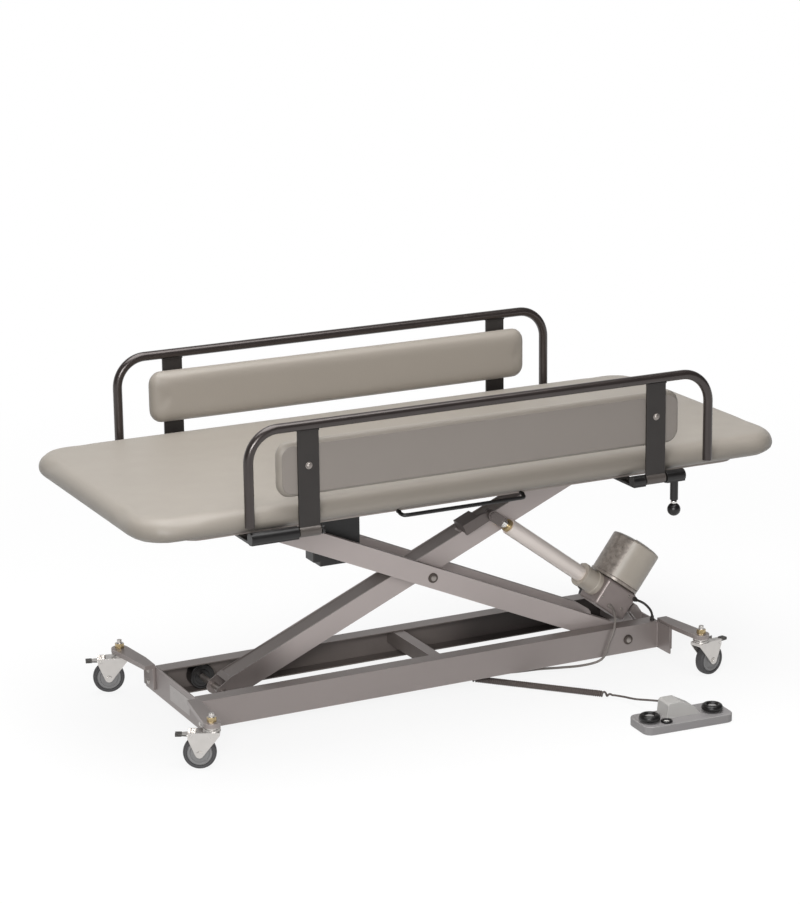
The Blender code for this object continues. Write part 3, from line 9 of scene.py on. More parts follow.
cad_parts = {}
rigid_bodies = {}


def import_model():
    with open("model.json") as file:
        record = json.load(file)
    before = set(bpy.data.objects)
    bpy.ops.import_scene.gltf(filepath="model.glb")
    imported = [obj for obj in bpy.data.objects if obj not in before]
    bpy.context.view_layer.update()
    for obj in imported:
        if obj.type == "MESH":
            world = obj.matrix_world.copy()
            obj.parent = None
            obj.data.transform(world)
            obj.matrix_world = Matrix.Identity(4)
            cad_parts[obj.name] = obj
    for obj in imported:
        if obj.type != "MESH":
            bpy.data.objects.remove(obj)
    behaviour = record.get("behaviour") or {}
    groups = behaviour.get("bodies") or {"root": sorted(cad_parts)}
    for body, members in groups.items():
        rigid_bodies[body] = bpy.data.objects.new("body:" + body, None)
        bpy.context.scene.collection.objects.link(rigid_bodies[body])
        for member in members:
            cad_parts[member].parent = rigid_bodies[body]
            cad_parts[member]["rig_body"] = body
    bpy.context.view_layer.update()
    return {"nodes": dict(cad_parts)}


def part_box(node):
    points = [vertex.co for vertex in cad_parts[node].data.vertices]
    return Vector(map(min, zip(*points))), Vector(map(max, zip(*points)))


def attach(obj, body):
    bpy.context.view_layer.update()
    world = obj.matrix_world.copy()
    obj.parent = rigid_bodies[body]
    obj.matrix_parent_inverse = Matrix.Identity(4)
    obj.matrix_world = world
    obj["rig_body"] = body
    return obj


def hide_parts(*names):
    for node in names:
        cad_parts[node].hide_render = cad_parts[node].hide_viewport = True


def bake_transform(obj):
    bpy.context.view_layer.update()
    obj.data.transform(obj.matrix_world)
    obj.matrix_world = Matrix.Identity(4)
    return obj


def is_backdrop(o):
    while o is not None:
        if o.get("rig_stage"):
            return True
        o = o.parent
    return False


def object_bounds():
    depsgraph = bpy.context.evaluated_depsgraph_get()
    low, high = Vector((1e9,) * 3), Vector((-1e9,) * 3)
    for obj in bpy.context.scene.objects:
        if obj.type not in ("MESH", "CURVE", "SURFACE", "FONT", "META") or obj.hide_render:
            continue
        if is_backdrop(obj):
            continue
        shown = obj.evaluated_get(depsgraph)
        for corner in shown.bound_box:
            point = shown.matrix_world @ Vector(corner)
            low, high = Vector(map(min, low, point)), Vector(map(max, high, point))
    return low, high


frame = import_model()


# Base frame: two cold-formed steel channels between two end plates, with a cross bar, welded together and
# sprayed with silver-grey metallic enamel. Its edges are a little rubbed. The rails' inner sides and the
# cross bar's back carry painted shade, darker towards the right. The shafts and bolts are zinc plated,
# with heads on dark flanges.
nodes = frame["nodes"]
pad_low, pad_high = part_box("mattress_pad")
TABLE_Y = (pad_low.y + pad_high.y) / 2
COAT_ROUGHNESS = 0.15


def at(x, y, z):
    """A place given from the table's own centre plane."""
    return Vector((x, y + TABLE_Y, z))


def srgb(red, green, blue):
    """A colour on the usual scale of 0 to 255, as the linear values that a shader takes."""
    shares = [value / 255 for value in (red, green, blue)]
    linear = [share / 12.92 if share <= 0.04045 else ((share + 0.055) / 1.055) ** 2.4 for share in shares]
    return (*linear, 1)


def feed(tree, node, inputs):
    """Gives each input of a node its value, or a link from another node's output."""
    for key, source in inputs.items():
        if isinstance(source, bpy.types.NodeSocket):
            tree.links.new(source, node.inputs[key])
        else:
            node.inputs[key].default_value = source


def add_node(tree, kind, inputs=None, **settings):
    """A new shader node with its settings and its inputs."""
    node = tree.nodes.new("ShaderNode" + kind)
    for name, value in settings.items():
        setattr(node, name, value)
    feed(tree, node, inputs or {})
    return node


def calculate(tree, operation, *inputs):
    """The output of one calculation on values and on other outputs."""
    return add_node(tree, "Math", dict(enumerate(inputs)), operation=operation).outputs[0]


def smooth_step(tree, value, low, high, first=0.0, last=1.0):
    """An output that goes smoothly from first to last while a value goes from low to high."""
    inputs = {"Value": value, "From Min": low, "From Max": high, "To Min": first, "To Max": last}
    return add_node(tree, "MapRange", inputs, interpolation_type="SMOOTHSTEP").outputs["Result"]


def new_group(name, inputs, outputs):
    """A group for a shared effect, with what it is given and its output node."""
    group = bpy.data.node_groups.new(name, "ShaderNodeTree")
    for label, kind, value in inputs:
        socket = group.interface.new_socket(name=label, in_out="INPUT", socket_type="NodeSocket" + kind)
        socket.default_value = value
    for label, kind in outputs:
        group.interface.new_socket(name=label, in_out="OUTPUT", socket_type="NodeSocket" + kind)
    given = group.nodes.new("NodeGroupInput")
    return group, given.outputs, group.nodes.new("NodeGroupOutput")


def sized_noise(group, size, detail, times=1.0):
    """A noise on Object coordinates whose features are about one given size in metres."""
    place = add_node(group, "TexCoord").outputs["Object"]
    scale = calculate(group, "DIVIDE", times, size)
    return add_node(group, "TexNoise", {"Detail": detail, "Vector": place, "Scale": scale}).outputs["Fac"]


def make_drift_group():
    """Colour and gloss that wander a little over a surface, as handling and spraying leave them."""
    group, given, result = new_group(
        "surface_drift",
        [("Color", "Color", (0.5, 0.5, 0.5, 1)), ("Patch Size", "Float", 0.1), ("Drift", "Float", 0.05),
         ("Gloss", "Float", 0.4), ("Gloss Drift", "Float", 0.05)],
        [("Color", "Color"), ("Roughness", "Float")])
    patches = sized_noise(group, given["Patch Size"], 4)
    spread = calculate(group, "MULTIPLY_ADD", patches, 2.0, -1.0)
    share = calculate(group, "MULTIPLY_ADD", spread, given["Drift"], 1.0)
    shade = add_node(group, "VectorMath", {0: given["Color"], "Scale": share}, operation="SCALE")
    smears = sized_noise(group, given["Patch Size"], 3, times=2.6)
    middle = calculate(group, "SUBTRACT", smears, 0.5)
    gloss = calculate(group, "MULTIPLY_ADD", middle, given["Gloss Drift"], given["Gloss"])
    feed(group, result, {"Color": shade.outputs["Vector"], "Roughness": gloss})
    return group


def make_grain_group():
    """The fine relief of a sprayed, plated or moulded skin."""
    group, given, result = new_group("fine_grain", [("Grain Size", "Float", 0.002)], [("Height", "Float")])
    feed(group, result, {"Height": sized_noise(group, given["Grain Size"], 2)})
    return group


surface_drift = make_drift_group()
fine_grain = make_grain_group()


def skin(name, colour, gloss, metallic=0.0, patch=0.12, drift=0.06, gloss_drift=0.12, grain=0.0015,
         relief=0.00004, coat=0.0):
    """A material whose colour and gloss drift over the surface, with a fine grain in relief."""
    material = bpy.data.materials.new(name)
    material.use_nodes = True
    tree = material.node_tree
    surface = add_node(tree, "Group", {"Color": srgb(*colour), "Patch Size": patch, "Drift": drift,
                                       "Gloss": gloss, "Gloss Drift": gloss_drift}, node_tree=surface_drift)
    texture = add_node(tree, "Group", {"Grain Size": grain}, node_tree=fine_grain)
    bump = add_node(tree, "Bump", {"Distance": relief, "Height": texture.outputs["Height"]})
    feed(tree, tree.nodes["Principled BSDF"], {
        "Metallic": metallic, "Coat Weight": coat, "Coat Roughness": COAT_ROUGHNESS,
        "Base Color": surface.outputs["Color"], "Roughness": surface.outputs["Roughness"],
        "Normal": bump.outputs["Normal"]})
    return material


def painted_shade_along_x(material, colour, unshaded_x, shaded_x):
    """Paints shade into a material: its colour darkens along X, from one place to another."""
    tree = material.node_tree
    surface = tree.nodes["Principled BSDF"].inputs["Base Color"].links[0].from_node
    place = add_node(tree, "TexCoord").outputs["Object"]
    along = add_node(tree, "SeparateXYZ", {"Vector": place}).outputs["X"]
    mix = add_node(tree, "Mix", {"A": surface.inputs["Color"].default_value[:], "B": srgb(*colour),
                                 "Factor": smooth_step(tree, along, unshaded_x, shaded_x)}, data_type="RGBA")
    feed(tree, surface, {"Color": mix.outputs["Result"]})


def pick(*pieces):
    """Selects these pieces alone, with the first one active."""
    bpy.ops.object.select_all(action="DESELECT")
    for piece in pieces:
        piece.select_set(True)
    bpy.context.view_layer.objects.active = pieces[0]


@contextmanager
def editing(piece, action="SELECT"):
    """Edit mode on one piece alone, with all of it selected or none."""
    pick(piece)
    bpy.ops.object.mode_set(mode="EDIT")
    bpy.ops.mesh.select_all(action=action)
    yield
    bpy.ops.object.mode_set(mode="OBJECT")


def apply_all(piece):
    pick(piece)
    for modifier in list(piece.modifiers):
        bpy.ops.object.modifier_apply(modifier=modifier.name)


def smooth(piece, angle=40):
    """Smooths the faces that meet at less than an angle, and keeps large faces flat."""
    pick(piece)
    bpy.ops.object.shade_smooth_by_angle(angle=math.radians(angle))
    even = piece.modifiers.new("Flat faces", "WEIGHTED_NORMAL")
    even.keep_sharp = True
    apply_all(piece)


def round_edges(piece, edge, segments=2, edge_slot=0, angle=30):
    """Rounds the sharp edges. The rounded faces take one material slot, and flat faces stay flat."""
    bevel = piece.modifiers.new("Rounded", "BEVEL")
    bevel.width = edge
    bevel.segments = segments
    bevel.limit_method = "ANGLE"
    bevel.angle_limit = math.radians(angle)
    bevel.material = edge_slot
    apply_all(piece)
    smooth(piece)


def settle(piece, body, slot, *replaced):
    """Lets a finished piece ride on its body, in place of CAD nodes. The slot is not used."""
    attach(piece, body)
    if replaced:
        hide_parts(*replaced)
    return piece


def dressed(node, slot, look, rubbed, edge, segments=2):
    """A CAD node's own shape with its edges rounded and rubbed, in place of the node."""
    source = nodes[node]
    piece = source.copy()
    piece.data = source.data.copy()
    for key in list(piece.keys()):
        del piece[key]
    piece.name = node + "_skin"
    piece.parent = None
    bpy.context.scene.collection.objects.link(piece)
    pick(piece)
    bpy.ops.mesh.customdata_custom_splitnormals_clear()
    with editing(piece):
        bpy.ops.mesh.remove_doubles(threshold=1e-5)
        bpy.ops.mesh.dissolve_limited(angle_limit=math.radians(1))
    piece.data.materials.clear()
    piece.data.materials.append(look)
    piece.data.materials.append(rubbed)
    round_edges(piece, edge, segments, edge_slot=1)
    return settle(piece, source["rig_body"], slot, node)


def repaint(piece, look, chosen):
    """Gives the faces whose middle is chosen another material."""
    piece.data.materials.append(look)
    index = len(piece.data.materials) - 1
    for face in piece.data.polygons:
        if chosen(face.center):
            face.material_index = index


def finished(piece, name, look):
    piece.name = name
    piece.data.name = name
    piece.data.materials.clear()
    piece.data.materials.append(look)
    return piece


def new_object(name, data):
    piece = bpy.data.objects.new(name, data)
    bpy.context.scene.collection.objects.link(piece)
    return piece


def close_up(piece):
    """Joins the points of a mesh that coincide, and turns its faces outwards."""
    with editing(piece):
        bpy.ops.mesh.remove_doubles(threshold=1e-6)
        bpy.ops.mesh.normals_make_consistent(inside=False)


def round_curve(name, points, radius, sides):
    """A round curve along a line of points, with closed ends."""
    data = bpy.data.curves.new(name, "CURVE")
    data.dimensions = "3D"
    data.bevel_depth = radius
    data.bevel_resolution = sides
    data.use_fill_caps = True
    spline = data.splines.new("POLY")
    spline.points.add(len(points) - 1)
    for point, place in zip(spline.points, points):
        point.co = (*place, 1)
    return new_object(name, data)


def pipe(name, points, radius, look, sides=6):
    """A round bar along a line of points, as a closed mesh."""
    piece = round_curve(name, points, radius, sides)
    pick(piece)
    bpy.ops.object.convert(target="MESH")
    close_up(piece)
    return finished(piece, name, look)


def pointing(along):
    return Vector(along).to_track_quat("Z", "Y").to_matrix().to_4x4()


def turned(name, profile, base, along, look, steps=48, edge=0.0, loop=False, across=None, first=0.0,
           sweep=360.0):
    """A profile of (radius, distance along the axis) spun about an axis through base."""
    count = len(profile)
    edges = [(i, i + 1) for i in range(count - 1)]
    if loop:
        edges.append((count - 1, 0))
    mesh = bpy.data.meshes.new(name)
    start = math.radians(first)
    line = [(radius * math.cos(start), radius * math.sin(start), height) for radius, height in profile]
    mesh.from_pydata(line, edges, [])
    piece = new_object(name, mesh)
    with editing(piece):
        bpy.ops.mesh.spin(steps=steps, angle=math.radians(sweep), center=(0, 0, 0), axis=(0, 0, 1))
    close_up(piece)
    turn = pointing(along)
    if across is not None:
        turn = Matrix((across, Vector(along).cross(across), along)).transposed().to_4x4()
    mesh.transform(Matrix.Translation(base) @ turn)
    finished(piece, name, look)
    if edge:
        round_edges(piece, edge)
    else:
        smooth(piece)
    return piece


def cube(low, high):
    """A plain block between two corners."""
    bpy.ops.object.select_all(action="DESELECT")
    bpy.ops.mesh.primitive_cube_add(size=1, location=(Vector(low) + Vector(high)) / 2)
    piece = bpy.context.object
    piece.scale = Vector(high) - Vector(low)
    bpy.ops.object.transform_apply(location=True, rotation=True, scale=True)
    return piece


def block(name, low, high, look, edge, segments=3):
    """A rounded block between two corners."""
    piece = finished(cube(low, high), name, look)
    round_edges(piece, edge, segments)
    return piece


def together(name, *pieces):
    """Joins finished pieces of one material into one object."""
    pick(*pieces)
    bpy.ops.object.join()
    pieces[0].name = name
    return pieces[0]


def both_sides(half):
    """A profile with its mirror image across the middle."""
    return half + [(radius, -height) for radius, height in reversed(half)]


def headed_shaft(node, look, flange):
    """A turned shaft across the table with a round head on a dark flange at each end, in place of a node."""
    low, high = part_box(node)
    centre = (low + high) / 2
    half = (high.y - low.y) / 2
    profile = [(radius, half - drop) for radius, drop in SHAFT_HEAD]
    shaft = turned(node + "_turned", both_sides(profile), centre, (0, 1, 0), look, 40)
    repaint(shaft, flange, lambda middle: (middle - centre).xz.length > HEAD_RADIUS)
    return settle(shaft, nodes[node]["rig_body"], "zinc", node)


BASE_HALF_LENGTH = 0.604
BASE_HALF_WIDTH = 0.139
BASE_BOTTOM = 0.035
BASE_TOP = 0.102
CROSS_BAR_FACE = 0.029
CROSS_BAR_BACK = 0.001
INNER_FACE_MARGIN = 0.001
SHAFT_HEAD = [(0, 0), (0.0044, 0), (0.0064, 0.0008), (0.0072, 0.0028), (0.0112, 0.0032), (0.0120, 0.0042),
              (0.0120, 0.0060), (0.0080, 0.0060)]
HEAD_RADIUS = 0.0074
# Painted shade: this silver is the arms' paint made darker.
silver = skin("silver_enamel", (156, 147, 144), 0.40, 0.35, drift=0.05, grain=0.0011, relief=0.00003,
              coat=0.1)
silver_rubbed = skin("silver_enamel_rubbed", (182, 173, 170), 0.34, 0.45, drift=0.08, grain=0.0011)
silver_coat = ("silver_paint", silver, silver_rubbed)
zinc = skin("zinc_plate", (205, 201, 197), 0.30, 0.85, patch=0.02, drift=0.08, grain=0.0007)
zinc_rubbed = skin("zinc_plate_rubbed", (226, 223, 218), 0.22, 0.95, patch=0.02, grain=0.0007)
worn_zinc = skin("worn_zinc", (158, 151, 146), 0.36, 0.70, patch=0.012, drift=0.16, grain=0.0007)
oiled_steel = skin("oiled_steel", (84, 76, 71), 0.42, 0.50, patch=0.012, drift=0.16, grain=0.0007)
black = skin("black_moulding", (17, 15, 15), 0.38, patch=0.06, drift=0.15, grain=0.0009, relief=0.00006)
black_rubbed = skin("black_moulding_rubbed", (46, 43, 41), 0.34, patch=0.03, grain=0.0009)
channel_shade = skin("channel_painted_shade", (112, 104, 100), 0.60, 0.10, patch=0.08, drift=0.15, grain=0.0011)
# Painted shade: the channels' inner faces and the cross bar's back take this darker coat, darker towards the
# right.
painted_shade_along_x(channel_shade, (60, 54, 52), 0.09, 0.27)
for where in ("front", "rear"):
    rail = dressed("base_rail_" + where, *silver_coat, 0.0013, 3)
    repaint(rail, channel_shade, lambda middle: abs(middle.y - TABLE_Y) < BASE_HALF_WIDTH - INNER_FACE_MARGIN
            and BASE_BOTTOM + INNER_FACE_MARGIN < middle.z < BASE_TOP - INNER_FACE_MARGIN)
dressed("end_plate_left", *silver_coat, 0.0009)
dressed("end_plate_right", *silver_coat, 0.0007)
cross_bar = dressed("base_cross_bar", *silver_coat, 0.0008)
# Painted shade on the cross bar's back face.
repaint(cross_bar, channel_shade, lambda middle: middle.x < CROSS_BAR_BACK + 0.0002)
repaint(cross_bar, black, lambda middle: middle.x > CROSS_BAR_FACE + 0.0005)
headed_shaft("lower_pivot_shaft", worn_zinc, oiled_steel)

PLATE_LOW = (-0.080, 0.049)
PLATE_HIGH = (0.040, 0.088)
PLATE_HALF_THICK = 0.0005
foil = skin("blank_foil", (176, 170, 167), 0.30, 0.40, patch=0.02, drift=0.10, grain=0.0009)
plate = block("blank_rating_plate", at(-BASE_HALF_LENGTH - PLATE_HALF_THICK, *PLATE_LOW),
              at(-BASE_HALF_LENGTH + PLATE_HALF_THICK, *PLATE_HIGH), foil, 0.0002, 2)
settle(plate, "base", "silver_paint")

WELD_RADIUS = 0.0022
WELD_WANDER = 0.0003
for side_x, end in ((-1, "left"), (1, "right")):
    beads = []
    for side_y in (-1, 1):
        heights = np.linspace(BASE_BOTTOM + 0.004, BASE_TOP - 0.004, 25)
        x = side_x * (BASE_HALF_LENGTH - 0.0045)
        y = side_y * (BASE_HALF_WIDTH + 0.0003)
        line = [at(x + WELD_WANDER * math.sin(900 * z), y + WELD_WANDER * math.cos(700 * z), z)
                for z in heights]
        beads.append(pipe("weld", line, WELD_RADIUS, silver, 3))
        smooth(beads[-1])
    settle(together("base_welds_" + end, *beads), "base", "silver_paint")


# Caster arms and casters: a folded steel arm bolted to each end plate, and a plated swivel fork on a threaded
# stem with a yellow-passivated nut. Each fork holds a grey rubber tyre on a plastic hub and a pressed brake
# pedal with a dark tip.
STEM_X = 0.634
STEM_Y = 0.283
ARM_TOP = 0.108
ARM_BOTTOM = 0.097
FLANGE_FACE = 0.6103
FLANGE_BOLT_Y = 0.160
FLANGE_BOLT_HEIGHTS = (0.058, 0.086)
FLANGE_BOLT_RADIUS = 0.0052
NUT_RADIUS = 0.011
NUT_TOP = 0.120
TRAIL = 0.028
WHEEL_RADIUS = 0.0375
PEDAL_TIP = 0.0665
CASTERS = {"front_left": (-1, -1, (-0.90, 0.44)), "rear_left": (-1, 1, (-0.95, 0.30)),
           "front_right": (1, -1, (0.97, 0.24)), "rear_right": (1, 1, (0.98, 0.20))}
RACE = [(0.0175, 0.0858), (0.0196, 0.0862), (0.0200, 0.0880), (0.0186, 0.0895), (0.0186, 0.0910),
        (0.0198, 0.0922), (0.0194, 0.0940), (0.0175, 0.0945)]
TYRE = [(0.0283, 0.0085), (0.0292, 0.0108), (0.0315, 0.0119), (0.0340, 0.0114), (0.0360, 0.0094),
        (0.0371, 0.0060), (0.0375, 0.0020)]
HUB = [(0.0045, 0.0118), (0.0088, 0.0118), (0.0094, 0.0112), (0.0100, 0.0094), (0.0205, 0.0084),
       (0.0222, 0.0105), (0.0268, 0.0105), (0.0284, 0.0090)]
brass = skin("yellow_passivate", (180, 160, 120), 0.32, 0.80, patch=0.01, drift=0.18, grain=0.0006)
rubber = skin("grey_rubber", (78, 77, 78), 0.62, patch=0.02, drift=0.10, grain=0.0007, relief=0.00008)
hub_plastic = skin("hub_plastic", (142, 141, 141), 0.45, patch=0.02, grain=0.0008)
pedal_tip = skin("pedal_tip", (70, 67, 64), 0.45, patch=0.02, drift=0.10, grain=0.0008)


def bolt_head(name, place, along, radius, look):
    """A hexagon head with a chamfered top, on its washer."""
    height = 0.62 * radius
    washer_radius = 1.35 * radius
    washer_top = 0.12 * radius
    washer = turned(name, [(0, 0), (washer_radius, 0), (washer_radius, washer_top), (0, washer_top)],
                    place, along, look, 24, 0.04 * radius)
    bpy.ops.object.select_all(action="DESELECT")
    bpy.ops.mesh.primitive_cylinder_add(vertices=6, radius=radius, depth=height)
    head = bpy.context.object
    head.data.transform(Matrix.Translation((0, 0, height / 2 + washer_top / 2)))
    head.data.transform(Matrix.Translation(place) @ pointing(along))
    head.matrix_world = Matrix.Identity(4)
    finished(head, name + "_head", look)
    round_edges(head, 0.12 * radius)
    return together(name, washer, head)


for where, (side_x, side_y, trail) in CASTERS.items():
    stem = at(side_x * STEM_X, side_y * STEM_Y, 0)
    forward = Vector((*trail, 0)).normalized()
    sideways = Vector((-forward.y, forward.x, 0))
    axle = stem + TRAIL * forward + Vector((0, 0, WHEEL_RADIUS))
    arm = dressed("caster_arm_" + where, *silver_coat, 0.0009)
    repaint(arm, brass, lambda middle: middle.z > ARM_TOP + 0.0002)
    repaint(arm, zinc, lambda middle: middle.z > NUT_TOP - 0.0002 or middle.z < ARM_BOTTOM - 0.0002
            and (middle - stem).xy.length < NUT_RADIUS)
    dressed("caster_fork_" + where, "zinc", zinc, zinc_rubbed, 0.0006)
    race = turned("swivel_race_" + where, RACE, stem, (0, 0, 1), zinc, 40, loop=True)
    settle(race, "caster_" + where, "zinc")
    tyre = turned("tyre_" + where, both_sides(TYRE), axle, sideways, rubber, 56, loop=True)
    settle(tyre, "wheel_" + where, "grey_tyre", "caster_wheel_" + where)
    hub = turned("wheel_hub_" + where, both_sides(HUB), axle, sideways, hub_plastic, 40, loop=True)
    settle(hub, "wheel_" + where, "grey_tyre", "caster_wheel_" + where)
    pedal = dressed("brake_pedal_" + where, "zinc", zinc, zinc_rubbed, 0.0006)
    repaint(pedal, pedal_tip, lambda middle: (middle - stem).dot(forward) > PEDAL_TIP)
    heads = [bolt_head("bolt", at(side_x * FLANGE_FACE, side_y * FLANGE_BOLT_Y, z), (side_x, 0, 0),
                       FLANGE_BOLT_RADIUS, zinc) for z in FLANGE_BOLT_HEIGHTS]
    settle(together("caster_arm_bolts_" + where, *heads), "base", "zinc")


# Scissor lift: box-tube arms crossed at their middles, on plated shafts. The wide arm carries the actuator's
# bracket, and painted shade darkens its lower end. Black nylon rollers run in the base's and the deck's
# channels.
ARM_SPAN = 1.1066
ARM_HALF_HEIGHT = 0.025
ARM_RIM = 0.0040
ARM_RECESS = 0.0016
LEAST_TOP_AREA = 0.005
LIFT_ANGLE = math.radians(23.6)
PIVOT = (0.517, 0.0685)
ROLLER_X = -0.497
DECK_PIVOT_Z = 0.51153
ROLLER_NEAR = 0.102
ROLLER_FAR = 0.131
ROLLER_BORE = 0.0083
ROLLER_CHAMFER = 0.0015
bracket_grey = skin("bracket_grey", (112, 104, 101), 0.45, 0.35, grain=0.0011)
# Painted light: the arms' rubbed edges are lighter than the base's too.
lit_arm_rubbed = skin("lit_arm_enamel_rubbed", (202, 193, 190), 0.32, 0.45, drift=0.08, grain=0.0011)
# Painted shade: the dark colour of the shallow recesses in the arms' upper faces.
arm_shade = skin("arm_recess_painted_shade", (140, 132, 129), 0.50, 0.25, drift=0.10, grain=0.0011)


# Painted light: the arms' enamel is the base's silver paint made lighter.
def lit_arm_enamel(name):
    return skin(name, (186, 176, 173), 0.38, 0.35, drift=0.05, grain=0.0011, relief=0.00003, coat=0.1)


def recess_top(arm, up):
    """Sinks a shallow channel into an arm's upper face, between two bright rims, and fills it with painted
    shade.
    """
    arm.data.materials.append(arm_shade)
    for face in arm.data.polygons:
        face.select = False
    tops = [face for face in arm.data.polygons if face.normal.dot(up) > 0.999 and face.area > LEAST_TOP_AREA]
    highest = max(face.center.dot(up) for face in tops)
    for face in tops:
        face.select = face.center.dot(up) > highest - 0.0005
    pick(arm)
    bpy.ops.object.mode_set(mode="EDIT")
    bpy.ops.mesh.select_mode(type="FACE")
    bpy.ops.mesh.inset(thickness=ARM_RIM, depth=0)
    bpy.ops.mesh.inset(thickness=ARM_RECESS / 4, depth=-ARM_RECESS)
    bpy.ops.mesh.select_mode(type="VERT")
    bpy.ops.object.mode_set(mode="OBJECT")
    for face in arm.data.polygons:
        if face.select:
            face.material_index = len(arm.data.materials) - 1
    smooth(arm)


lit_arm_silver = lit_arm_enamel("lit_arm_enamel")
for where in ("front", "rear"):
    outer = dressed("outer_arm_" + where, "silver_paint", lit_arm_silver, lit_arm_rubbed, 0.0011, 3)
    recess_top(outer, Vector((math.sin(LIFT_ANGLE), 0, math.cos(LIFT_ANGLE))))
inner_lit_shaded_silver = lit_arm_enamel("inner_arm_lit_shaded_enamel")
# Painted shade: the wide arm's enamel darkens towards its lower end.
painted_shade_along_x(inner_lit_shaded_silver, (128, 119, 116), -0.30, -0.42)
inner = dressed("inner_arm", "silver_paint", inner_lit_shaded_silver, lit_arm_rubbed, 0.0007)
arm_centre = at(PIVOT[0] - ARM_SPAN / 2 * math.cos(LIFT_ANGLE), 0, (PIVOT[1] + DECK_PIVOT_Z) / 2)
arm_up = Vector((-math.sin(LIFT_ANGLE), 0, math.cos(LIFT_ANGLE)))
repaint(inner, bracket_grey, lambda middle: (middle - arm_centre).dot(arm_up) > ARM_HALF_HEIGHT + 0.0004)
recess_top(inner, arm_up)
headed_shaft("centre_pivot_shaft", worn_zinc, oiled_steel)
for node in ("upper_roller_shaft", "lower_roller_shaft", "upper_pivot_shaft"):
    dressed(node, "zinc", worn_zinc, zinc_rubbed, 0.0007)
half = (ROLLER_FAR - ROLLER_NEAR) / 2
for level, height, radius in (("upper", DECK_PIVOT_Z, 0.0170), ("lower", PIVOT[1], 0.0300)):
    profile = [(ROLLER_BORE, half), (0.55 * radius, half), (0.60 * radius, half - ROLLER_CHAMFER),
               (0.80 * radius, half - ROLLER_CHAMFER), (0.85 * radius, half), (radius - ROLLER_CHAMFER, half),
               (radius, half - ROLLER_CHAMFER)]
    for side_y, where in ((-1, "front"), (1, "rear")):
        middle = side_y * (ROLLER_FAR + ROLLER_NEAR) / 2
        roller = turned(f"{level}_wheel_{where}", both_sides(profile), at(ROLLER_X, middle, height),
                        (0, 1, 0), black, 48, loop=True)
        settle(roller, f"{level}_roller_{where}", "black_plastic", f"{level}_roller_{where}")


# Electric actuator: an aluminium tube in a cream collar on a cast gearbox, and a round motor on top. The
# motor's can is bare metal, mottled dark and light by painted reflection, with a cream moulded cover round
# its outer side. The rod is chromed, with a brass wiper.
FOOT = at(0.580, -0.049, 0.113)
ROD_BACK = Vector((0.7985, 0, -0.6020))
MOTOR_UP = Vector((0.6020, 0, 0.7985))
FRONT = Vector((0, -1, 0))
GEARBOX_FAR = 0.128
GEARBOX_HALF_WIDTH = 0.041
NECK_END = 0.1823
NECK_RADIUS = 0.0300
COLLAR_RADIUS = 0.0275
COLLAR_BORE = 0.0112
TUBE_RADIUS = 0.0195
TUBE_BORE = 0.0104
TUBE_STOP = 0.050
WIPER_RADIUS = 0.0155
WIPER_LENGTH = 0.009
ROD_RADIUS = 0.01025
BUSH_RADIUS = 0.0132
FORK_START = 0.0245
FORK_RADIUS = 0.0125
MOTOR_ALONG = 0.0885
MOTOR_LOW = 0.0303
MOTOR_HIGH = 0.1453
COVER_FIRST = 68.0
COVER_SWEEP = 200.0
SCREW = [(0, -0.0005), (0.0036, -0.0005), (0.0036, 0.0016), (0.0030, 0.0022), (0.0018, 0.0022),
         (0.0018, 0.0010), (0, 0.0010)]
CAN_DOME = [(0.0616, 0.0125), (0.0609, 0.0100), (0.0585, 0.0083), (0.0480, 0.0052), (0.0300, 0.0026),
            (0, 0.0014)]
COVER_DOME = [(0.0640, 0.0110), (0.0633, 0.0086), (0.0610, 0.0068), (0.0500, 0.0035), (0.0300, 0.0009),
              (0.0005, 0), (0.0005, 0.0018), (0.0300, 0.0030), (0.0480, 0.0056), (0.0585, 0.0087),
              (0.0609, 0.0104), (0.0616, 0.0129)]
cream = skin("cream_moulding", (191, 182, 170), 0.42, patch=0.05, grain=0.0012, coat=0.1)
# Painted reflection: the can's strong dark and light mottle.
can_painted_reflection = skin("motor_can", (158, 149, 141), 0.34, 0.20, patch=0.010, drift=0.75, gloss_drift=0.4,
                 grain=0.0012)
gearbox_cast = skin("cast_gearbox", (156, 145, 142), 0.48, 0.35, patch=0.03, drift=0.12, grain=0.0010,
                    relief=0.0001)
gearbox_rubbed = skin("cast_gearbox_rubbed", (172, 162, 158), 0.40, 0.55, patch=0.02, grain=0.0010)
aluminium = skin("satin_aluminium", (246, 236, 229), 0.36, 0.15, patch=0.05, drift=0.05, grain=0.0008)
chrome = skin("chrome", (222, 220, 216), 0.10, 1.0, patch=0.03, drift=0.03, gloss_drift=0.05, relief=0.000005)
rod_end = max(-(vertex.co - FOOT).dot(ROD_BACK) for vertex in nodes["actuator_rod"].data.vertices)
reach = rod_end - FORK_RADIUS
tube_top = reach - TUBE_STOP
wiper_start = tube_top - WIPER_LENGTH
fork_start = reach - FORK_START


def on_actuator(along, across, above):
    """A place given from the foot pin along the rod, across to the front and up along the motor."""
    return FOOT - along * ROD_BACK + across * FRONT + above * MOTOR_UP


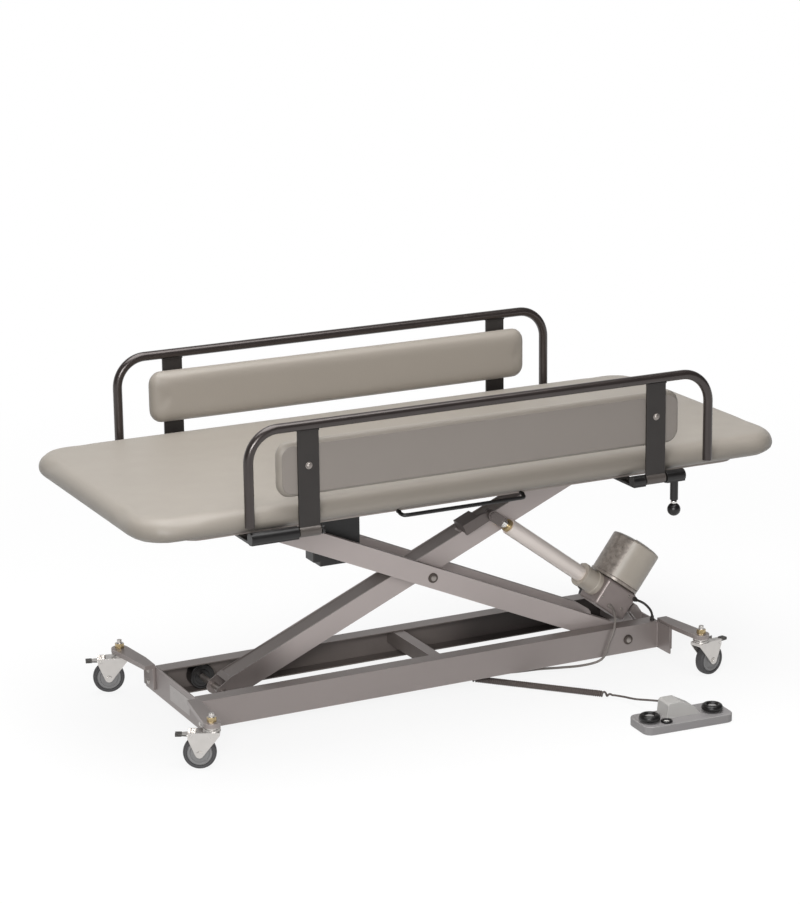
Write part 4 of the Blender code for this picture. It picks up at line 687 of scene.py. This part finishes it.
dressed("actuator_gearbox", "gearbox_metal", gearbox_cast, gearbox_rubbed, 0.0010)
screws = [turned("screw", SCREW, on_actuator(along, GEARBOX_HALF_WIDTH, above), FRONT, worn_zinc, 20)
          for along in (0.052, 0.118) for above in (-0.018, 0.018)]
settle(together("gearbox_screws", *screws), "actuator", "zinc")
tube_start = NECK_END - 0.030
collar_start = GEARBOX_FAR + 0.0004
collar_end = NECK_END - 0.0085
clamp_start = NECK_END - 0.009
barrel = [(TUBE_BORE, tube_start), (TUBE_RADIUS, tube_start), (TUBE_RADIUS, wiper_start),
          (TUBE_BORE, wiper_start)]
collar = [(COLLAR_BORE, collar_start), (NECK_RADIUS, collar_start), (NECK_RADIUS, GEARBOX_FAR + 0.012),
          (COLLAR_RADIUS, GEARBOX_FAR + 0.014), (COLLAR_RADIUS, collar_end), (COLLAR_BORE, collar_end)]
clamp = [(TUBE_RADIUS, clamp_start), (NECK_RADIUS, clamp_start), (NECK_RADIUS, NECK_END),
         (TUBE_RADIUS, NECK_END)]
wiper = [(TUBE_BORE, wiper_start - 0.004), (WIPER_RADIUS - 0.001, wiper_start - 0.004),
         (WIPER_RADIUS, wiper_start + 0.001), (WIPER_RADIUS, tube_top - 0.002),
         (WIPER_RADIUS - 0.002, tube_top), (TUBE_BORE, tube_top)]
for name, profile, look, steps, edge in (("actuator_barrel", barrel, aluminium, 56, 0.0008),
                                         ("actuator_collar", collar, cream, 56, 0.0006),
                                         ("actuator_clamp", clamp, cream, 56, 0.0008),
                                         ("rod_wiper", wiper, brass, 40, 0.0003)):
    sleeve = turned(name, profile, FOOT, -ROD_BACK, look, steps, edge, loop=True)
    settle(sleeve, "actuator", "silver_paint", "actuator_tube")
motor_foot = on_actuator(MOTOR_ALONG, 0, 0)
can_line = [(0, MOTOR_LOW), (0.0636, MOTOR_LOW), (0.0636, MOTOR_LOW + 0.006), (0.0616, MOTOR_LOW + 0.008)]
can_line += [(radius, MOTOR_HIGH - drop) for radius, drop in CAN_DOME]
can = turned("motor_can", can_line, motor_foot, MOTOR_UP, can_painted_reflection, 64, across=ROD_BACK)
settle(can, "actuator", "motor_plastic", "actuator_motor")
cover_line = [(0.0616, MOTOR_LOW + 0.0085), (0.0640, MOTOR_LOW + 0.0085)]
cover_line += [(radius, MOTOR_HIGH - drop) for radius, drop in COVER_DOME]
cover = turned("motor_cover", cover_line, motor_foot, MOTOR_UP, cream, 48, loop=True, across=ROD_BACK,
               first=COVER_FIRST, sweep=COVER_SWEEP)
with editing(cover, "DESELECT"):
    bpy.ops.mesh.select_non_manifold()
    bpy.ops.mesh.edge_face_add()
    bpy.ops.mesh.select_all(action="SELECT")
    bpy.ops.mesh.normals_make_consistent(inside=False)
smooth(cover)
settle(cover, "actuator", "motor_plastic", "actuator_motor")
dressed("actuator_rod", "chrome", bracket_grey, gearbox_rubbed, 0.0007)
bush_start = fork_start - 0.007
bush_line = [(0, NECK_END), (ROD_RADIUS, NECK_END), (ROD_RADIUS, bush_start),
             (BUSH_RADIUS - 0.0004, bush_start), (BUSH_RADIUS, fork_start - 0.006),
             (BUSH_RADIUS, fork_start + 0.001), (0, fork_start + 0.001)]
bush = turned("rod_bush", bush_line, FOOT, -ROD_BACK, chrome, 48)
repaint(bush, worn_zinc, lambda middle: -(middle - FOOT).dot(ROD_BACK) > bush_start - 0.0001)
settle(bush, "actuator_rod", "chrome", "actuator_rod")


# Deck: a painted plywood board with two ribs over its roller channels. A black control box hangs under it,
# and a bent black rod is screwed to its front edge.
DECK_EDGE = -0.322
HANDLE_LEFT = -0.190
HANDLE_RIGHT = 0.120
HANDLE_Z = 0.53853
HANDLE_RADIUS = 0.0045
HANDLE_SPACING = 0.002
board = skin("painted_ply", (158, 149, 143), 0.55, patch=0.2, grain=0.003, relief=0.00006)
board_rubbed = skin("painted_ply_rubbed", (172, 163, 156), 0.55, patch=0.05, grain=0.003)
dressed("deck_board", "board", board, board_rubbed, 0.0012)
for where in ("front", "rear"):
    dressed("deck_channel_" + where, *silver_coat, 0.0011)
dressed("control_box", "black_plastic", black, black_rubbed, 0.0025, 3)


def bend(points, spacing):
    """Places at about one spacing along a smooth curve through the given points."""
    given = np.array(points, float)
    ends = np.vstack([2 * given[0] - given[1], given, 2 * given[-1] - given[-2]])
    steps = np.linspace(0, 1, 25)[:-1, None]
    pieces = []
    for before, start, end, after in zip(ends[:-3], ends[1:-2], ends[2:-1], ends[3:]):
        slope_in = (end - before) / 2
        slope_out = (after - start) / 2
        pieces.append((2 * steps**3 - 3 * steps**2 + 1) * start + (steps**3 - 2 * steps**2 + steps) * slope_in
                      + (3 * steps**2 - 2 * steps**3) * end + (steps**3 - steps**2) * slope_out)
    dense = np.vstack(pieces + [given[-1:]])
    along = np.concatenate([[0], np.cumsum(np.linalg.norm(np.diff(dense, axis=0), axis=1))])
    marks = np.linspace(0, along[-1], max(3, round(along[-1] / spacing) + 1))
    return np.column_stack([np.interp(marks, along, dense[:, i]) for i in range(3)])


def from_table(points):
    return [tuple(at(*point)) for point in points]


left_turn = [(HANDLE_LEFT, DECK_EDGE - 0.0003, HANDLE_Z), (HANDLE_LEFT, DECK_EDGE - 0.0093, HANDLE_Z),
             (HANDLE_LEFT, -0.334, HANDLE_Z - 0.002), (HANDLE_LEFT + 0.0035, -0.3445, HANDLE_Z - 0.004),
             (HANDLE_LEFT + 0.014, -0.348, HANDLE_Z - 0.004)]
right_turn = [(HANDLE_RIGHT + HANDLE_LEFT - x, y, z) for x, y, z in reversed(left_turn)]
handle_line = np.vstack([bend(left_turn, HANDLE_SPACING), bend(right_turn, HANDLE_SPACING)])
handle = pipe("bent_rod_handle", from_table(handle_line), HANDLE_RADIUS, black, 6)
smooth(handle)
settle(handle, "deck", "black_plastic", "rod_handle")


# Mattress pad: polyether foam on a board, in taupe vinyl with a fine leather grain, pulled tight over soft
# round edges. The vinyl is stapled underneath, so no seam shows. The bolsters are made the same way.
PAD_SWELL = 0.0035
PAD_CORNER = 0.090
PAD_EDGE = 0.032
PAD_VOXEL = 0.008
FLAT = 1e-4


def make_leather_group():
    """A pebbled vinyl grain: soft cells, with a slow unevenness of the foam below."""
    group, given, result = new_group("vinyl_grain", [("Cell Size", "Float", 0.0016)], [("Height", "Float")])
    place = add_node(group, "TexCoord").outputs["Object"]
    scale = calculate(group, "DIVIDE", 1.0, given["Cell Size"])
    cells = add_node(group, "TexVoronoi", {"Vector": place, "Scale": scale}, feature="SMOOTH_F1")
    soft = sized_noise(group, given["Cell Size"], 2, times=0.4)
    feed(group, result, {"Height": calculate(group, "ADD", cells.outputs["Distance"], soft)})
    return group


vinyl_grain = make_leather_group()


def vinyl_look(name, colour):
    """Vinyl cloth: the drift of its colour and gloss, and its grain in relief."""
    material = skin(name, colour, 0.46, patch=0.16, drift=0.035, gloss_drift=0.16)
    tree = material.node_tree
    shader = tree.nodes["Principled BSDF"]
    bump = shader.inputs["Normal"].links[0].from_node
    grain = add_node(tree, "Group", node_tree=vinyl_grain)
    feed(tree, shader, {"Sheen Weight": 0.08, "Sheen Roughness": 0.5})
    feed(tree, bump, {"Distance": 0.00012, "Height": grain.outputs["Height"]})
    return material


def bevel_where(slab, chosen, offset, segments):
    """Rounds the edges that are chosen by the heights of their lower and upper ends."""
    with editing(slab, "DESELECT"):
        bpy.ops.mesh.select_mode(type="EDGE")
    for line in slab.data.edges:
        heights = [slab.data.vertices[i].co.z for i in line.vertices]
        line.select = chosen(min(heights), max(heights))
    bpy.ops.object.mode_set(mode="EDIT")
    bpy.ops.mesh.bevel(offset=offset, segments=segments, affect="EDGES", clamp_overlap=True)
    bpy.ops.object.mode_set(mode="OBJECT")


def foam_slab(name, length, width, thick, corner, edge, look, voxel):
    """A slab lying on Z 0 with round corners in plan and soft edges, remeshed evenly if a voxel is given."""
    slab = cube((-length / 2, -width / 2, 0), (length / 2, width / 2, thick))
    bevel_where(slab, lambda low, high: high - low > thick / 2, corner, 12)
    bevel_where(slab, lambda low, high: low > thick - FLAT, edge, 8)
    bevel_where(slab, lambda low, high: high < FLAT, min(edge, thick - edge) * 0.9, 6)
    if not voxel:
        smooth(slab)
        return finished(slab, name, look)
    remesh = slab.modifiers.new("Even", "REMESH")
    remesh.mode = "VOXEL"
    remesh.voxel_size = voxel
    apply_all(slab)
    even = slab.modifiers.new("Soft", "SMOOTH")
    even.iterations = 4
    apply_all(slab)
    return finished(slab, name, look)


def plump(slab, cap):
    """Blows the foam up inside its cover for a moment, with its back held, and keeps the capped rise."""
    rest = np.array([vertex.co for vertex in slab.data.vertices])
    held = slab.vertex_groups.new(name="held")
    held.add([i for i, place in enumerate(rest) if place[2] < 0.0012], 1.0, "REPLACE")
    cloth = slab.modifiers.new("Cover", "CLOTH")
    cloth.settings.quality = 5
    cloth.settings.use_pressure = True
    cloth.settings.uniform_pressure_force = 4
    cloth.settings.effector_weights.gravity = 0
    cloth.settings.vertex_group_mass = "held"
    cloth.settings.tension_stiffness = 25
    cloth.settings.bending_stiffness = 2
    scene = bpy.context.scene
    for step in range(1, 21):
        scene.frame_set(step)
    graph = bpy.context.evaluated_depsgraph_get()
    shape = slab.evaluated_get(graph).to_mesh()
    moved = np.array([vertex.co for vertex in shape.vertices])
    slab.evaluated_get(graph).to_mesh_clear()
    slab.modifiers.remove(cloth)
    scene.frame_set(1)
    rest[:, 2] += np.clip(moved[:, 2] - rest[:, 2], 0, cap)
    slab.data.vertices.foreach_set("co", rest.ravel())
    slab.data.update()
    slab.vertex_groups.clear()
    even = slab.modifiers.new("Soft", "SMOOTH")
    even.use_x = False
    even.use_y = False
    even.iterations = 10
    apply_all(slab)


def stand_at(slab, size, turn, place):
    """Brings a slab to its exact size with its back on Z 0, then turns and moves it to its place."""
    places = np.array([vertex.co for vertex in slab.data.vertices])
    least = places.min(axis=0)
    share = (places - least) / (places.max(axis=0) - least)
    places = (share - (0.5, 0.5, 0)) * size
    slab.data.vertices.foreach_set("co", places.ravel())
    slab.data.transform(Matrix.Translation(place) @ turn)
    slab.data.update()
    pick(slab)
    bpy.ops.object.shade_smooth()


vinyl = vinyl_look("taupe_vinyl", (146, 139, 130))
pad_size = pad_high - pad_low
pad = foam_slab("vinyl_mattress", pad_size.x - 2 * PAD_SWELL, pad_size.y - 2 * PAD_SWELL,
                pad_size.z - PAD_SWELL, PAD_CORNER, PAD_EDGE, vinyl, PAD_VOXEL)
plump(pad, PAD_SWELL)
stand_at(pad, pad_size, Matrix.Identity(4), Vector(((pad_low.x + pad_high.x) / 2, TABLE_Y, pad_low.z)))
settle(pad, "deck", "vinyl", "mattress_pad")


# Side rails: a bent tube hoop with two flat straps, in dark-brown textured enamel. Each strap has a hinge
# knuckle welded under it and a domed bolt through it into the bolster, which is foam on a thin back board.
HINGE_Y = 0.385
HINGE_Z = 0.54503
HOOP_Y = 0.388
HOOP_RADIUS = 0.011
HOOP_HALF_WIDTH = 0.575
HOOP_RISE = 0.237
HOOP_LEG_END = 0.027
HOOP_BEND = 0.070
STRAP_X = 0.435
STRAP_WIDTH = 0.050
STRAP_THICK = 0.006
KNUCKLE_RADIUS = 0.0125
KNUCKLE_BORE = 0.0073
BOLT_RISE = 0.1475
BOLSTER_SWELL = 0.0040
BOLSTER_CORNER = 0.030
BOLSTER_EDGE = 0.022
BOLSTER_VOXEL = 0.005
BOARD_THICK = 0.0012
BOARD_INSET = 0.0085
BOARD_CORNER = 0.024
DOMED_BOLT = [(0, -0.0005), (0.0080, -0.0005), (0.0080, 0.0008), (0.0066, 0.0012), (0.0060, 0.0028),
              (0.0045, 0.0042), (0.0022, 0.0046), (0.0020, 0.0034), (0, 0.0034)]
dark = skin("dark_enamel", (43, 39, 37), 0.46, 0.15, patch=0.05, drift=0.20, grain=0.0013, relief=0.00012,
            coat=0.05)
dark_tube = skin("dark_tube_enamel", (62, 55, 53), 0.30, 0.60, patch=0.05, drift=0.16, grain=0.0013, coat=0.4)
dark_rubbed = skin("dark_enamel_rubbed", (92, 86, 82), 0.36, 0.30, patch=0.03, drift=0.15, grain=0.0013)
back_vinyl = vinyl_look("bolster_back_vinyl", (136, 129, 123))


def hoop_line(side):
    """The centre line of a hoop, up its left leg, along its top and down its right leg."""
    top = HINGE_Z + HOOP_RISE
    turn = np.radians(np.linspace(180, 90, 19))
    centre = HOOP_BEND - HOOP_HALF_WIDTH
    left = [(centre + HOOP_BEND * math.cos(a), top - HOOP_BEND + HOOP_BEND * math.sin(a)) for a in turn]
    line = [(-HOOP_HALF_WIDTH, HINGE_Z + HOOP_LEG_END)] + left
    line += [(-x, z) for x, z in reversed(line)]
    return [at(x, side * HOOP_Y, z) for x, z in line]


for side, where in ((-1, "front"), (1, "rear")):
    body = "rail_" + where
    frame_node = "rail_frame_" + where
    hoop = pipe("rail_hoop_" + where, hoop_line(side), HOOP_RADIUS, dark_tube, 8)
    smooth(hoop)
    settle(hoop, body, "dark_paint", frame_node)
    for x, end in ((-STRAP_X, "left"), (STRAP_X, "right")):
        mark = f"{where}_{end}"
        half = STRAP_WIDTH / 2
        strap = block("rail_strap_" + mark, at(x - half, side * HOOP_Y - STRAP_THICK / 2, HINGE_Z),
                      at(x + half, side * HOOP_Y + STRAP_THICK / 2, HINGE_Z + HOOP_RISE), dark, 0.0012)
        settle(strap, body, "dark_paint", frame_node)
        knuckle = turned("rail_knuckle_" + mark, [(KNUCKLE_BORE, -half), (KNUCKLE_RADIUS, -half),
                                                  (KNUCKLE_RADIUS, half), (KNUCKLE_BORE, half)],
                         at(x, side * HINGE_Y, HINGE_Z), (1, 0, 0), dark_rubbed, 40, 0.0008, loop=True)
        settle(knuckle, body, "dark_paint", frame_node)
        weld_z = HINGE_Z + HOOP_RISE - HOOP_RADIUS - 0.0002
        lines = [[at(x + step, side * HOOP_Y + face_y, weld_z + 0.0004 * math.sin(1800 * step))
                  for step in np.linspace(-half, half, 33)] for face_y in (-0.0036, 0.0036)]
        beads = [pipe("weld", line, WELD_RADIUS, dark, 3) for line in lines]
        settle(together("strap_welds_" + mark, *beads), body, "dark_paint")
        face = at(x, side * (HOOP_Y + STRAP_THICK / 2), HINGE_Z + BOLT_RISE)
        bolt = turned("strap_bolt_" + mark, DOMED_BOLT, face, (0, side, 0), worn_zinc, 32)
        settle(bolt, body, "zinc", frame_node)
    low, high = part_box("bolster_" + where)
    size = high - low
    bolster = foam_slab("vinyl_bolster_" + where, size.x - 2 * BOLSTER_SWELL, size.z - 2 * BOLSTER_SWELL,
                        size.y - BOLSTER_SWELL - BOARD_THICK, BOLSTER_CORNER, BOLSTER_EDGE, vinyl,
                        BOLSTER_VOXEL)
    plump(bolster, BOLSTER_SWELL)
    stand = Matrix(((1, 0, 0), (0, 0, -side), (0, side, 0))).to_4x4()
    back = high.y - BOARD_THICK if side > 0 else low.y + BOARD_THICK
    middle = Vector(((low.x + high.x) / 2, back, (low.z + high.z) / 2))
    stand_at(bolster, (size.x, size.z, size.y - BOARD_THICK), stand, middle)
    settle(bolster, body, "vinyl", "bolster_" + where)
    board_back = foam_slab("bolster_back_" + where, size.x - 2 * BOARD_INSET, size.z - 2 * BOARD_INSET,
                           2 * BOARD_THICK, BOARD_CORNER, BOARD_THICK, back_vinyl, 0)
    board_back.data.transform(Matrix.Translation(middle) @ stand @ Matrix.Translation((0, 0, -BOARD_THICK)))
    settle(board_back, body, "vinyl", "bolster_" + where)


# Rail hinges and locks: black barrels on webs that bolt under the deck, with a guide tube at the right for a
# sprung plunger with a black ball knob on a bright collar.
BALL_RADIUS = 0.0155
BALL_DROP = 0.084
PLUNGER_RADIUS = 0.0050
PLUNGER_TOP = -0.0170
PLUNGER_COLLAR = [(0.0051, -0.0692), (0.0072, -0.0692), (0.0078, -0.0680), (0.0078, -0.0650),
                  (0.0072, -0.0638), (0.0051, -0.0638)]
ball_turn = np.radians(np.linspace(-90, 62, 18))
ball = [(BALL_RADIUS * math.cos(a), BALL_RADIUS * math.sin(a) - BALL_DROP) for a in ball_turn]
ball[0] = (0, ball[0][1])
ball += [(0.0068, -0.0695), (PLUNGER_RADIUS, -0.0688), (PLUNGER_RADIUS, PLUNGER_TOP), (0, PLUNGER_TOP)]
for where in ("front", "rear"):
    plunger_node = "lock_plunger_" + where
    dressed("hinge_left_" + where, "black_metal", black, black_rubbed, 0.0008)
    dressed("hinge_right_" + where, "black_metal", black, black_rubbed, 0.0006)
    low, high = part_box(plunger_node)
    middle = Vector(((low.x + high.x) / 2, (low.y + high.y) / 2, HINGE_Z))
    plunger = turned("ball_plunger_" + where, ball, middle, (0, 0, 1), black, 40)
    settle(plunger, plunger_node, "black_plastic", plunger_node)
    collar = turned("plunger_collar_" + where, PLUNGER_COLLAR, middle, (0, 0, 1), chrome, 32, loop=True)
    settle(collar, plunger_node, "chrome")


# Foot switch: a grey moulded base with a hump for its works, the hump painted lighter as painted light, two
# black domed buttons with a grey dish, and a small pale cap in a loose black ring.
SWITCH_PLACE = at(0.4255, -0.5315, 0)
SWITCH_TURN = math.radians(-3.0)
SWITCH_HEIGHT = 0.020
BUTTON_PLACES = (("left", -0.0870), ("right", 0.0755))
BUTTON_Y = -0.0085
BUTTON = [(0, 0.0120), (0.0105, 0.0120), (0.0120, 0.0140), (0.0136, 0.0166), (0.0158, 0.0179),
          (0.0182, 0.0178), (0.0208, 0.0168), (0.0232, 0.0148), (0.0247, 0.0118), (0.0250, 0.0085),
          (0.0244, 0.0060), (0.0228, 0.0050), (0.0100, 0.0050), (0.0100, -0.0070), (0, -0.0070)]
DISH = [(0, 0.0116), (0.0102, 0.0116), (0.0102, 0.0128), (0.0085, 0.0136), (0, 0.0142)]
CAP = [(0, -0.0005), (0.0078, -0.0005), (0.0078, 0.0016), (0.0064, 0.0028), (0, 0.0034)]
RING_PLACE = (-0.0545, -0.0300)
RING_RADIUS = 0.011
RING_WIRE = 0.0028
switch_grey = skin("switch_grey", (147, 144, 144), 0.48, patch=0.04, grain=0.0010, relief=0.00008)
switch_rubbed = skin("switch_grey_rubbed", (156, 154, 153), 0.42, patch=0.02, grain=0.0010)
# Painted light: the hump takes a lighter grey than the base.
lit_hump_grey = skin("lit_hump_grey", (186, 184, 181), 0.48, patch=0.03, grain=0.0010, relief=0.00008)
pale_cap = skin("pale_cap", (226, 224, 220), 0.40, patch=0.02, drift=0.05, grain=0.0008)
switch_base = dressed("foot_switch_base", "switch_grey", switch_grey, switch_rubbed, 0.0016, 3)
# Painted light on the hump's faces.
repaint(switch_base, lit_hump_grey, lambda middle: middle.z > SWITCH_HEIGHT + 0.0007)


def on_switch(x, y, z):
    """A place given from the middle of the foot switch, along its own turned sides."""
    return SWITCH_PLACE + Matrix.Rotation(SWITCH_TURN, 3, "Z") @ Vector((x, y, z))


for end, x in BUTTON_PLACES:
    seat = on_switch(x, BUTTON_Y, SWITCH_HEIGHT)
    button = turned("ring_button_" + end, BUTTON, seat, (0, 0, 1), black, 48)
    settle(button, "foot_button_" + end, "black_plastic", "foot_button_" + end)
    dish = turned("button_dish_" + end, DISH, seat, (0, 0, 1), switch_rubbed, 32)
    settle(dish, "foot_button_" + end, "switch_grey")
ring_turn = np.radians(np.arange(0, 360, 30))
wire = [(RING_RADIUS + RING_WIRE * math.cos(a), RING_WIRE * math.sin(a)) for a in ring_turn]
ring = turned("loose_ring", wire, on_switch(*RING_PLACE, SWITCH_HEIGHT + RING_WIRE + 0.0003), (0, 0, 1),
              black, 40, loop=True)
settle(ring, "base", "black_plastic", "foot_switch_ring")
cap = turned("ring_cap", CAP, on_switch(*RING_PLACE, SWITCH_HEIGHT), (0, 0, 1), pale_cap, 32)
settle(cap, "base", "switch_grey")


# Cords: the foot switch's black curly cord along the floor, a grey motor cable over the front rail, and a
# short black motor lead. All three go back into the table.
CORD_RADIUS = 0.0025
CABLE_RADIUS = 0.003
CORD_SPACING = 0.006
CURL_RADIUS = 0.0055
CURLS = 66
POINTS_PER_CURL = 16
CURL_RAMP = 2
CURL_HEIGHT = CURL_RADIUS + CORD_RADIUS + 0.0008
CURL_START = (0.1145, -0.0435, CURL_HEIGHT)
CURL_END = (0.372, -0.323, CURL_HEIGHT)
CORD_IN = [(0.0373, 0.0, 0.0797), (0.0440, 0.0, 0.0797), (0.0640, -0.004, 0.068), (0.0860, -0.018, 0.032),
           (0.1050, -0.0335, 0.0125)]
CORD_OUT = [(0.3840, -0.345, 0.010), (0.3910, -0.385, 0.016), (0.3965, -0.440, 0.030),
            (0.3982, -0.4790, 0.0400), (0.3975, -0.4917, 0.0400)]
MOTOR_CABLE = [(0.4935, -0.0908, 0.1430), (0.4930, -0.1040, 0.1420), (0.4860, -0.1300, 0.1270),
               (0.4740, -0.1452, 0.1020), (0.4600, -0.1462, 0.0700), (0.4490, -0.1455, 0.0420),
               (0.4330, -0.1400, 0.0265), (0.3940, -0.1290, 0.0190), (0.3390, -0.1200, 0.0200),
               (0.2840, -0.1180, 0.0250), (0.2000, -0.1060, 0.0265), (0.1200, -0.0800, 0.0330),
               (0.0720, -0.0580, 0.0580), (0.0460, -0.0500, 0.0797), (0.0373, -0.0500, 0.0797)]
MOTOR_LEAD = [(0.5640, -0.0908, 0.1500), (0.5650, -0.1000, 0.1500), (0.5760, -0.1160, 0.1440),
              (0.5890, -0.1230, 0.1280), (0.5940, -0.1240, 0.1130), (0.5940, -0.1240, 0.1023)]
SLEEVE = [(0.0031, -0.001), (0.0060, -0.001), (0.0060, 0.0030), (0.0048, 0.0036), (0.0042, 0.0100),
          (0.0031, 0.0104)]
brown_cord = skin("brown_cord", (98, 89, 85), 0.46, patch=0.03, drift=0.12, grain=0.0008)
black_cord = skin("black_cord", (48, 44, 42), 0.46, patch=0.03, drift=0.12, grain=0.0008)
grey_cord = skin("grey_cord", (140, 133, 128), 0.46, patch=0.03, drift=0.08, grain=0.0008)


def curly_line():
    """In from the gland, round the curls along the floor, and out to the foot switch."""
    start = np.array(CURL_START)
    end = np.array(CURL_END)
    forward = (end - start) / np.linalg.norm(end - start)
    sideways = np.cross(forward, (0, 0, 1))
    turns = np.arange(1, CURLS * POINTS_PER_CURL) / POINTS_PER_CURL
    share = np.minimum(1, np.minimum(turns, CURLS - turns) / CURL_RAMP)[:, None]
    ramp = share**2 * (3 - 2 * share)
    angles = 2 * math.pi * turns[:, None]
    advance = turns + 2 * np.minimum(turns, CURL_RAMP) + 2 * np.maximum(turns - CURLS + CURL_RAMP, 0)
    curls = start + (end - start) * advance[:, None] / (CURLS + 4 * CURL_RAMP)
    curls = curls + CURL_RADIUS * ramp * (np.cos(angles) * sideways + np.sin(angles) * np.array([0, 0, 1]))
    return np.vstack([bend(CORD_IN + [CURL_START], CORD_SPACING), curls,
                      bend([CURL_END] + CORD_OUT, CORD_SPACING)])


curly_points = from_table(curly_line())
curly = round_curve("curly_flex", curly_points, CORD_RADIUS, 3)
curly.data.materials.append(brown_cord)
settle(curly, "base", "black_cord", "curly_cord")
for name, route, node, look, slot in (("motor_flex", MOTOR_CABLE, "motor_cable", grey_cord, "grey_cord"),
                                      ("motor_tail", MOTOR_LEAD, "motor_lead", black_cord, "black_cord")):
    line = from_table(bend(route, CORD_SPACING))
    cable = pipe(name, line, CABLE_RADIUS, look, 4)
    smooth(cable)
    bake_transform(cable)
    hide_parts(node)

switch_lead = (Vector(CORD_OUT[-2]) - Vector(CORD_OUT[-1])).normalized()
for name, end, along, body, look in (("motor_flex_sleeve", MOTOR_CABLE[0], FRONT, "actuator", grey_cord),
                                     ("motor_tail_sleeve", MOTOR_LEAD[0], FRONT, "actuator", black_cord),
                                     ("motor_tail_gland", MOTOR_LEAD[-1], (0, 0, 1), "base", black_cord),
                                     ("switch_sleeve", CORD_OUT[-1], switch_lead, "base", black_cord)):
    settle(turned(name, SLEEVE, at(*end), along, look, 24, loop=True), body, "black_cord")


# Studio: a pale floor that the camera and reflections see as white, soft light from above and the front, and
# the camera at the photograph's place.
FLOOR_SIZE = 60
FLOOR_Z = -0.0005
SHADE_NEAR = 0.7
SHADE_FAR = 3.2
SHADE_WHITE = 0.88
FLOOR_BOUNCE = (0.34, 0.34, 0.34, 1)
FLOOR_SEEN = (0.92, 0.92, 0.92, 1)


def white_stage(name, near, far):
    """A floor that keeps shadows near the table and turns white further off, seen or in a reflection."""
    material = bpy.data.materials.new(name)
    material.use_nodes = True
    tree = material.node_tree
    path = add_node(tree, "LightPath").outputs
    sees = calculate(tree, "MAXIMUM", path["Is Camera Ray"], path["Is Glossy Ray"])
    through = calculate(tree, "MAXIMUM", sees, path["Is Transmission Ray"])
    tint = add_node(tree, "Mix", {"A": FLOOR_BOUNCE, "B": FLOOR_SEEN, "Factor": through}, data_type="RGBA")
    shader = tree.nodes["Principled BSDF"]
    feed(tree, shader, {"Roughness": 0.9, "Specular IOR Level": 0.0, "Base Color": tint.outputs["Result"]})
    place = add_node(tree, "TexCoord").outputs["Object"]
    distance = add_node(tree, "VectorMath", {0: place}, operation="LENGTH").outputs["Value"]
    share = calculate(tree, "MULTIPLY", through, smooth_step(tree, distance, near, far, SHADE_WHITE))
    glow = add_node(tree, "Emission", {"Strength": 1.0})
    mix = add_node(tree, "MixShader", {"Fac": share, 1: shader.outputs["BSDF"], 2: glow.outputs["Emission"]})
    feed(tree, tree.nodes["Material Output"], {"Surface": mix.outputs["Shader"]})
    return material


bpy.ops.object.select_all(action="DESELECT")
bpy.ops.mesh.primitive_plane_add(size=FLOOR_SIZE, location=(0, 0, FLOOR_Z))
floor = bpy.context.object
finished(floor, "studio_floor", white_stage("studio_floor", SHADE_NEAR, SHADE_FAR))
floor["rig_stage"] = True

world = bpy.data.worlds.new("studio_world")
bpy.context.scene.world = world
world.use_nodes = True
world_tree = world.node_tree
sky = world_tree.nodes["Background"]
feed(world_tree, sky, {"Color": (1.0, 1.0, 1.0, 1)})
facing = add_node(world_tree, "TexCoord").outputs["Generated"]
depth = add_node(world_tree, "SeparateXYZ", {"Vector": facing}).outputs["Y"]
strength = smooth_step(world_tree, depth, 0.1, 0.9, 0.13, 0.75)
ambient = add_node(world_tree, "Background", {"Strength": strength})
sight = add_node(world_tree, "LightPath").outputs["Is Camera Ray"]
both_lights = add_node(world_tree, "MixShader", {"Fac": sight, 1: ambient.outputs["Background"],
                                                 2: sky.outputs["Background"]})
feed(world_tree, world_tree.nodes["World Output"], {"Surface": both_lights.outputs["Shader"]})


def soft_lamp(name, place, target, size, power):
    lamp = bpy.data.lights.new(name, "AREA")
    lamp.shape = "RECTANGLE"
    lamp.size, lamp.size_y = size
    lamp.energy = power
    holder = new_object(name, lamp)
    holder.location = place
    holder.visible_camera = False
    holder.rotation_euler = (Vector(target) - Vector(place)).to_track_quat("-Z", "Y").to_euler()


soft_lamp("overhead_softbox", (-0.3, -0.2, 3.4), (0, 0, 0.4), (3.4, 2.6), 140)
soft_lamp("front_softbox", (-2.4, -4.0, 2.1), (0, 0, 0.3), (2.0, 1.4), 148)

CAMERA_PLACE = at(-2.845, -5.732, 2.296)
CAMERA_RIGHT = (0.89577, -0.44436, -0.01182)
CAMERA_UP = (0.12571, 0.22775, 0.96557)
CAMERA_BACK = (-0.42637, -0.86641, 0.25987)
camera_data = bpy.data.cameras.new("photo_camera")
camera_data.lens = 112.66
camera_data.sensor_width = 36
camera_data.sensor_fit = "AUTO"
camera = new_object("photo_camera", camera_data)
camera_turn = Matrix((CAMERA_RIGHT, CAMERA_UP, CAMERA_BACK)).transposed().to_4x4()
camera.matrix_world = Matrix.Translation(CAMERA_PLACE) @ camera_turn
bpy.context.scene.camera = camera
bpy.context.scene.view_settings.view_transform = "Standard"

low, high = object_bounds()
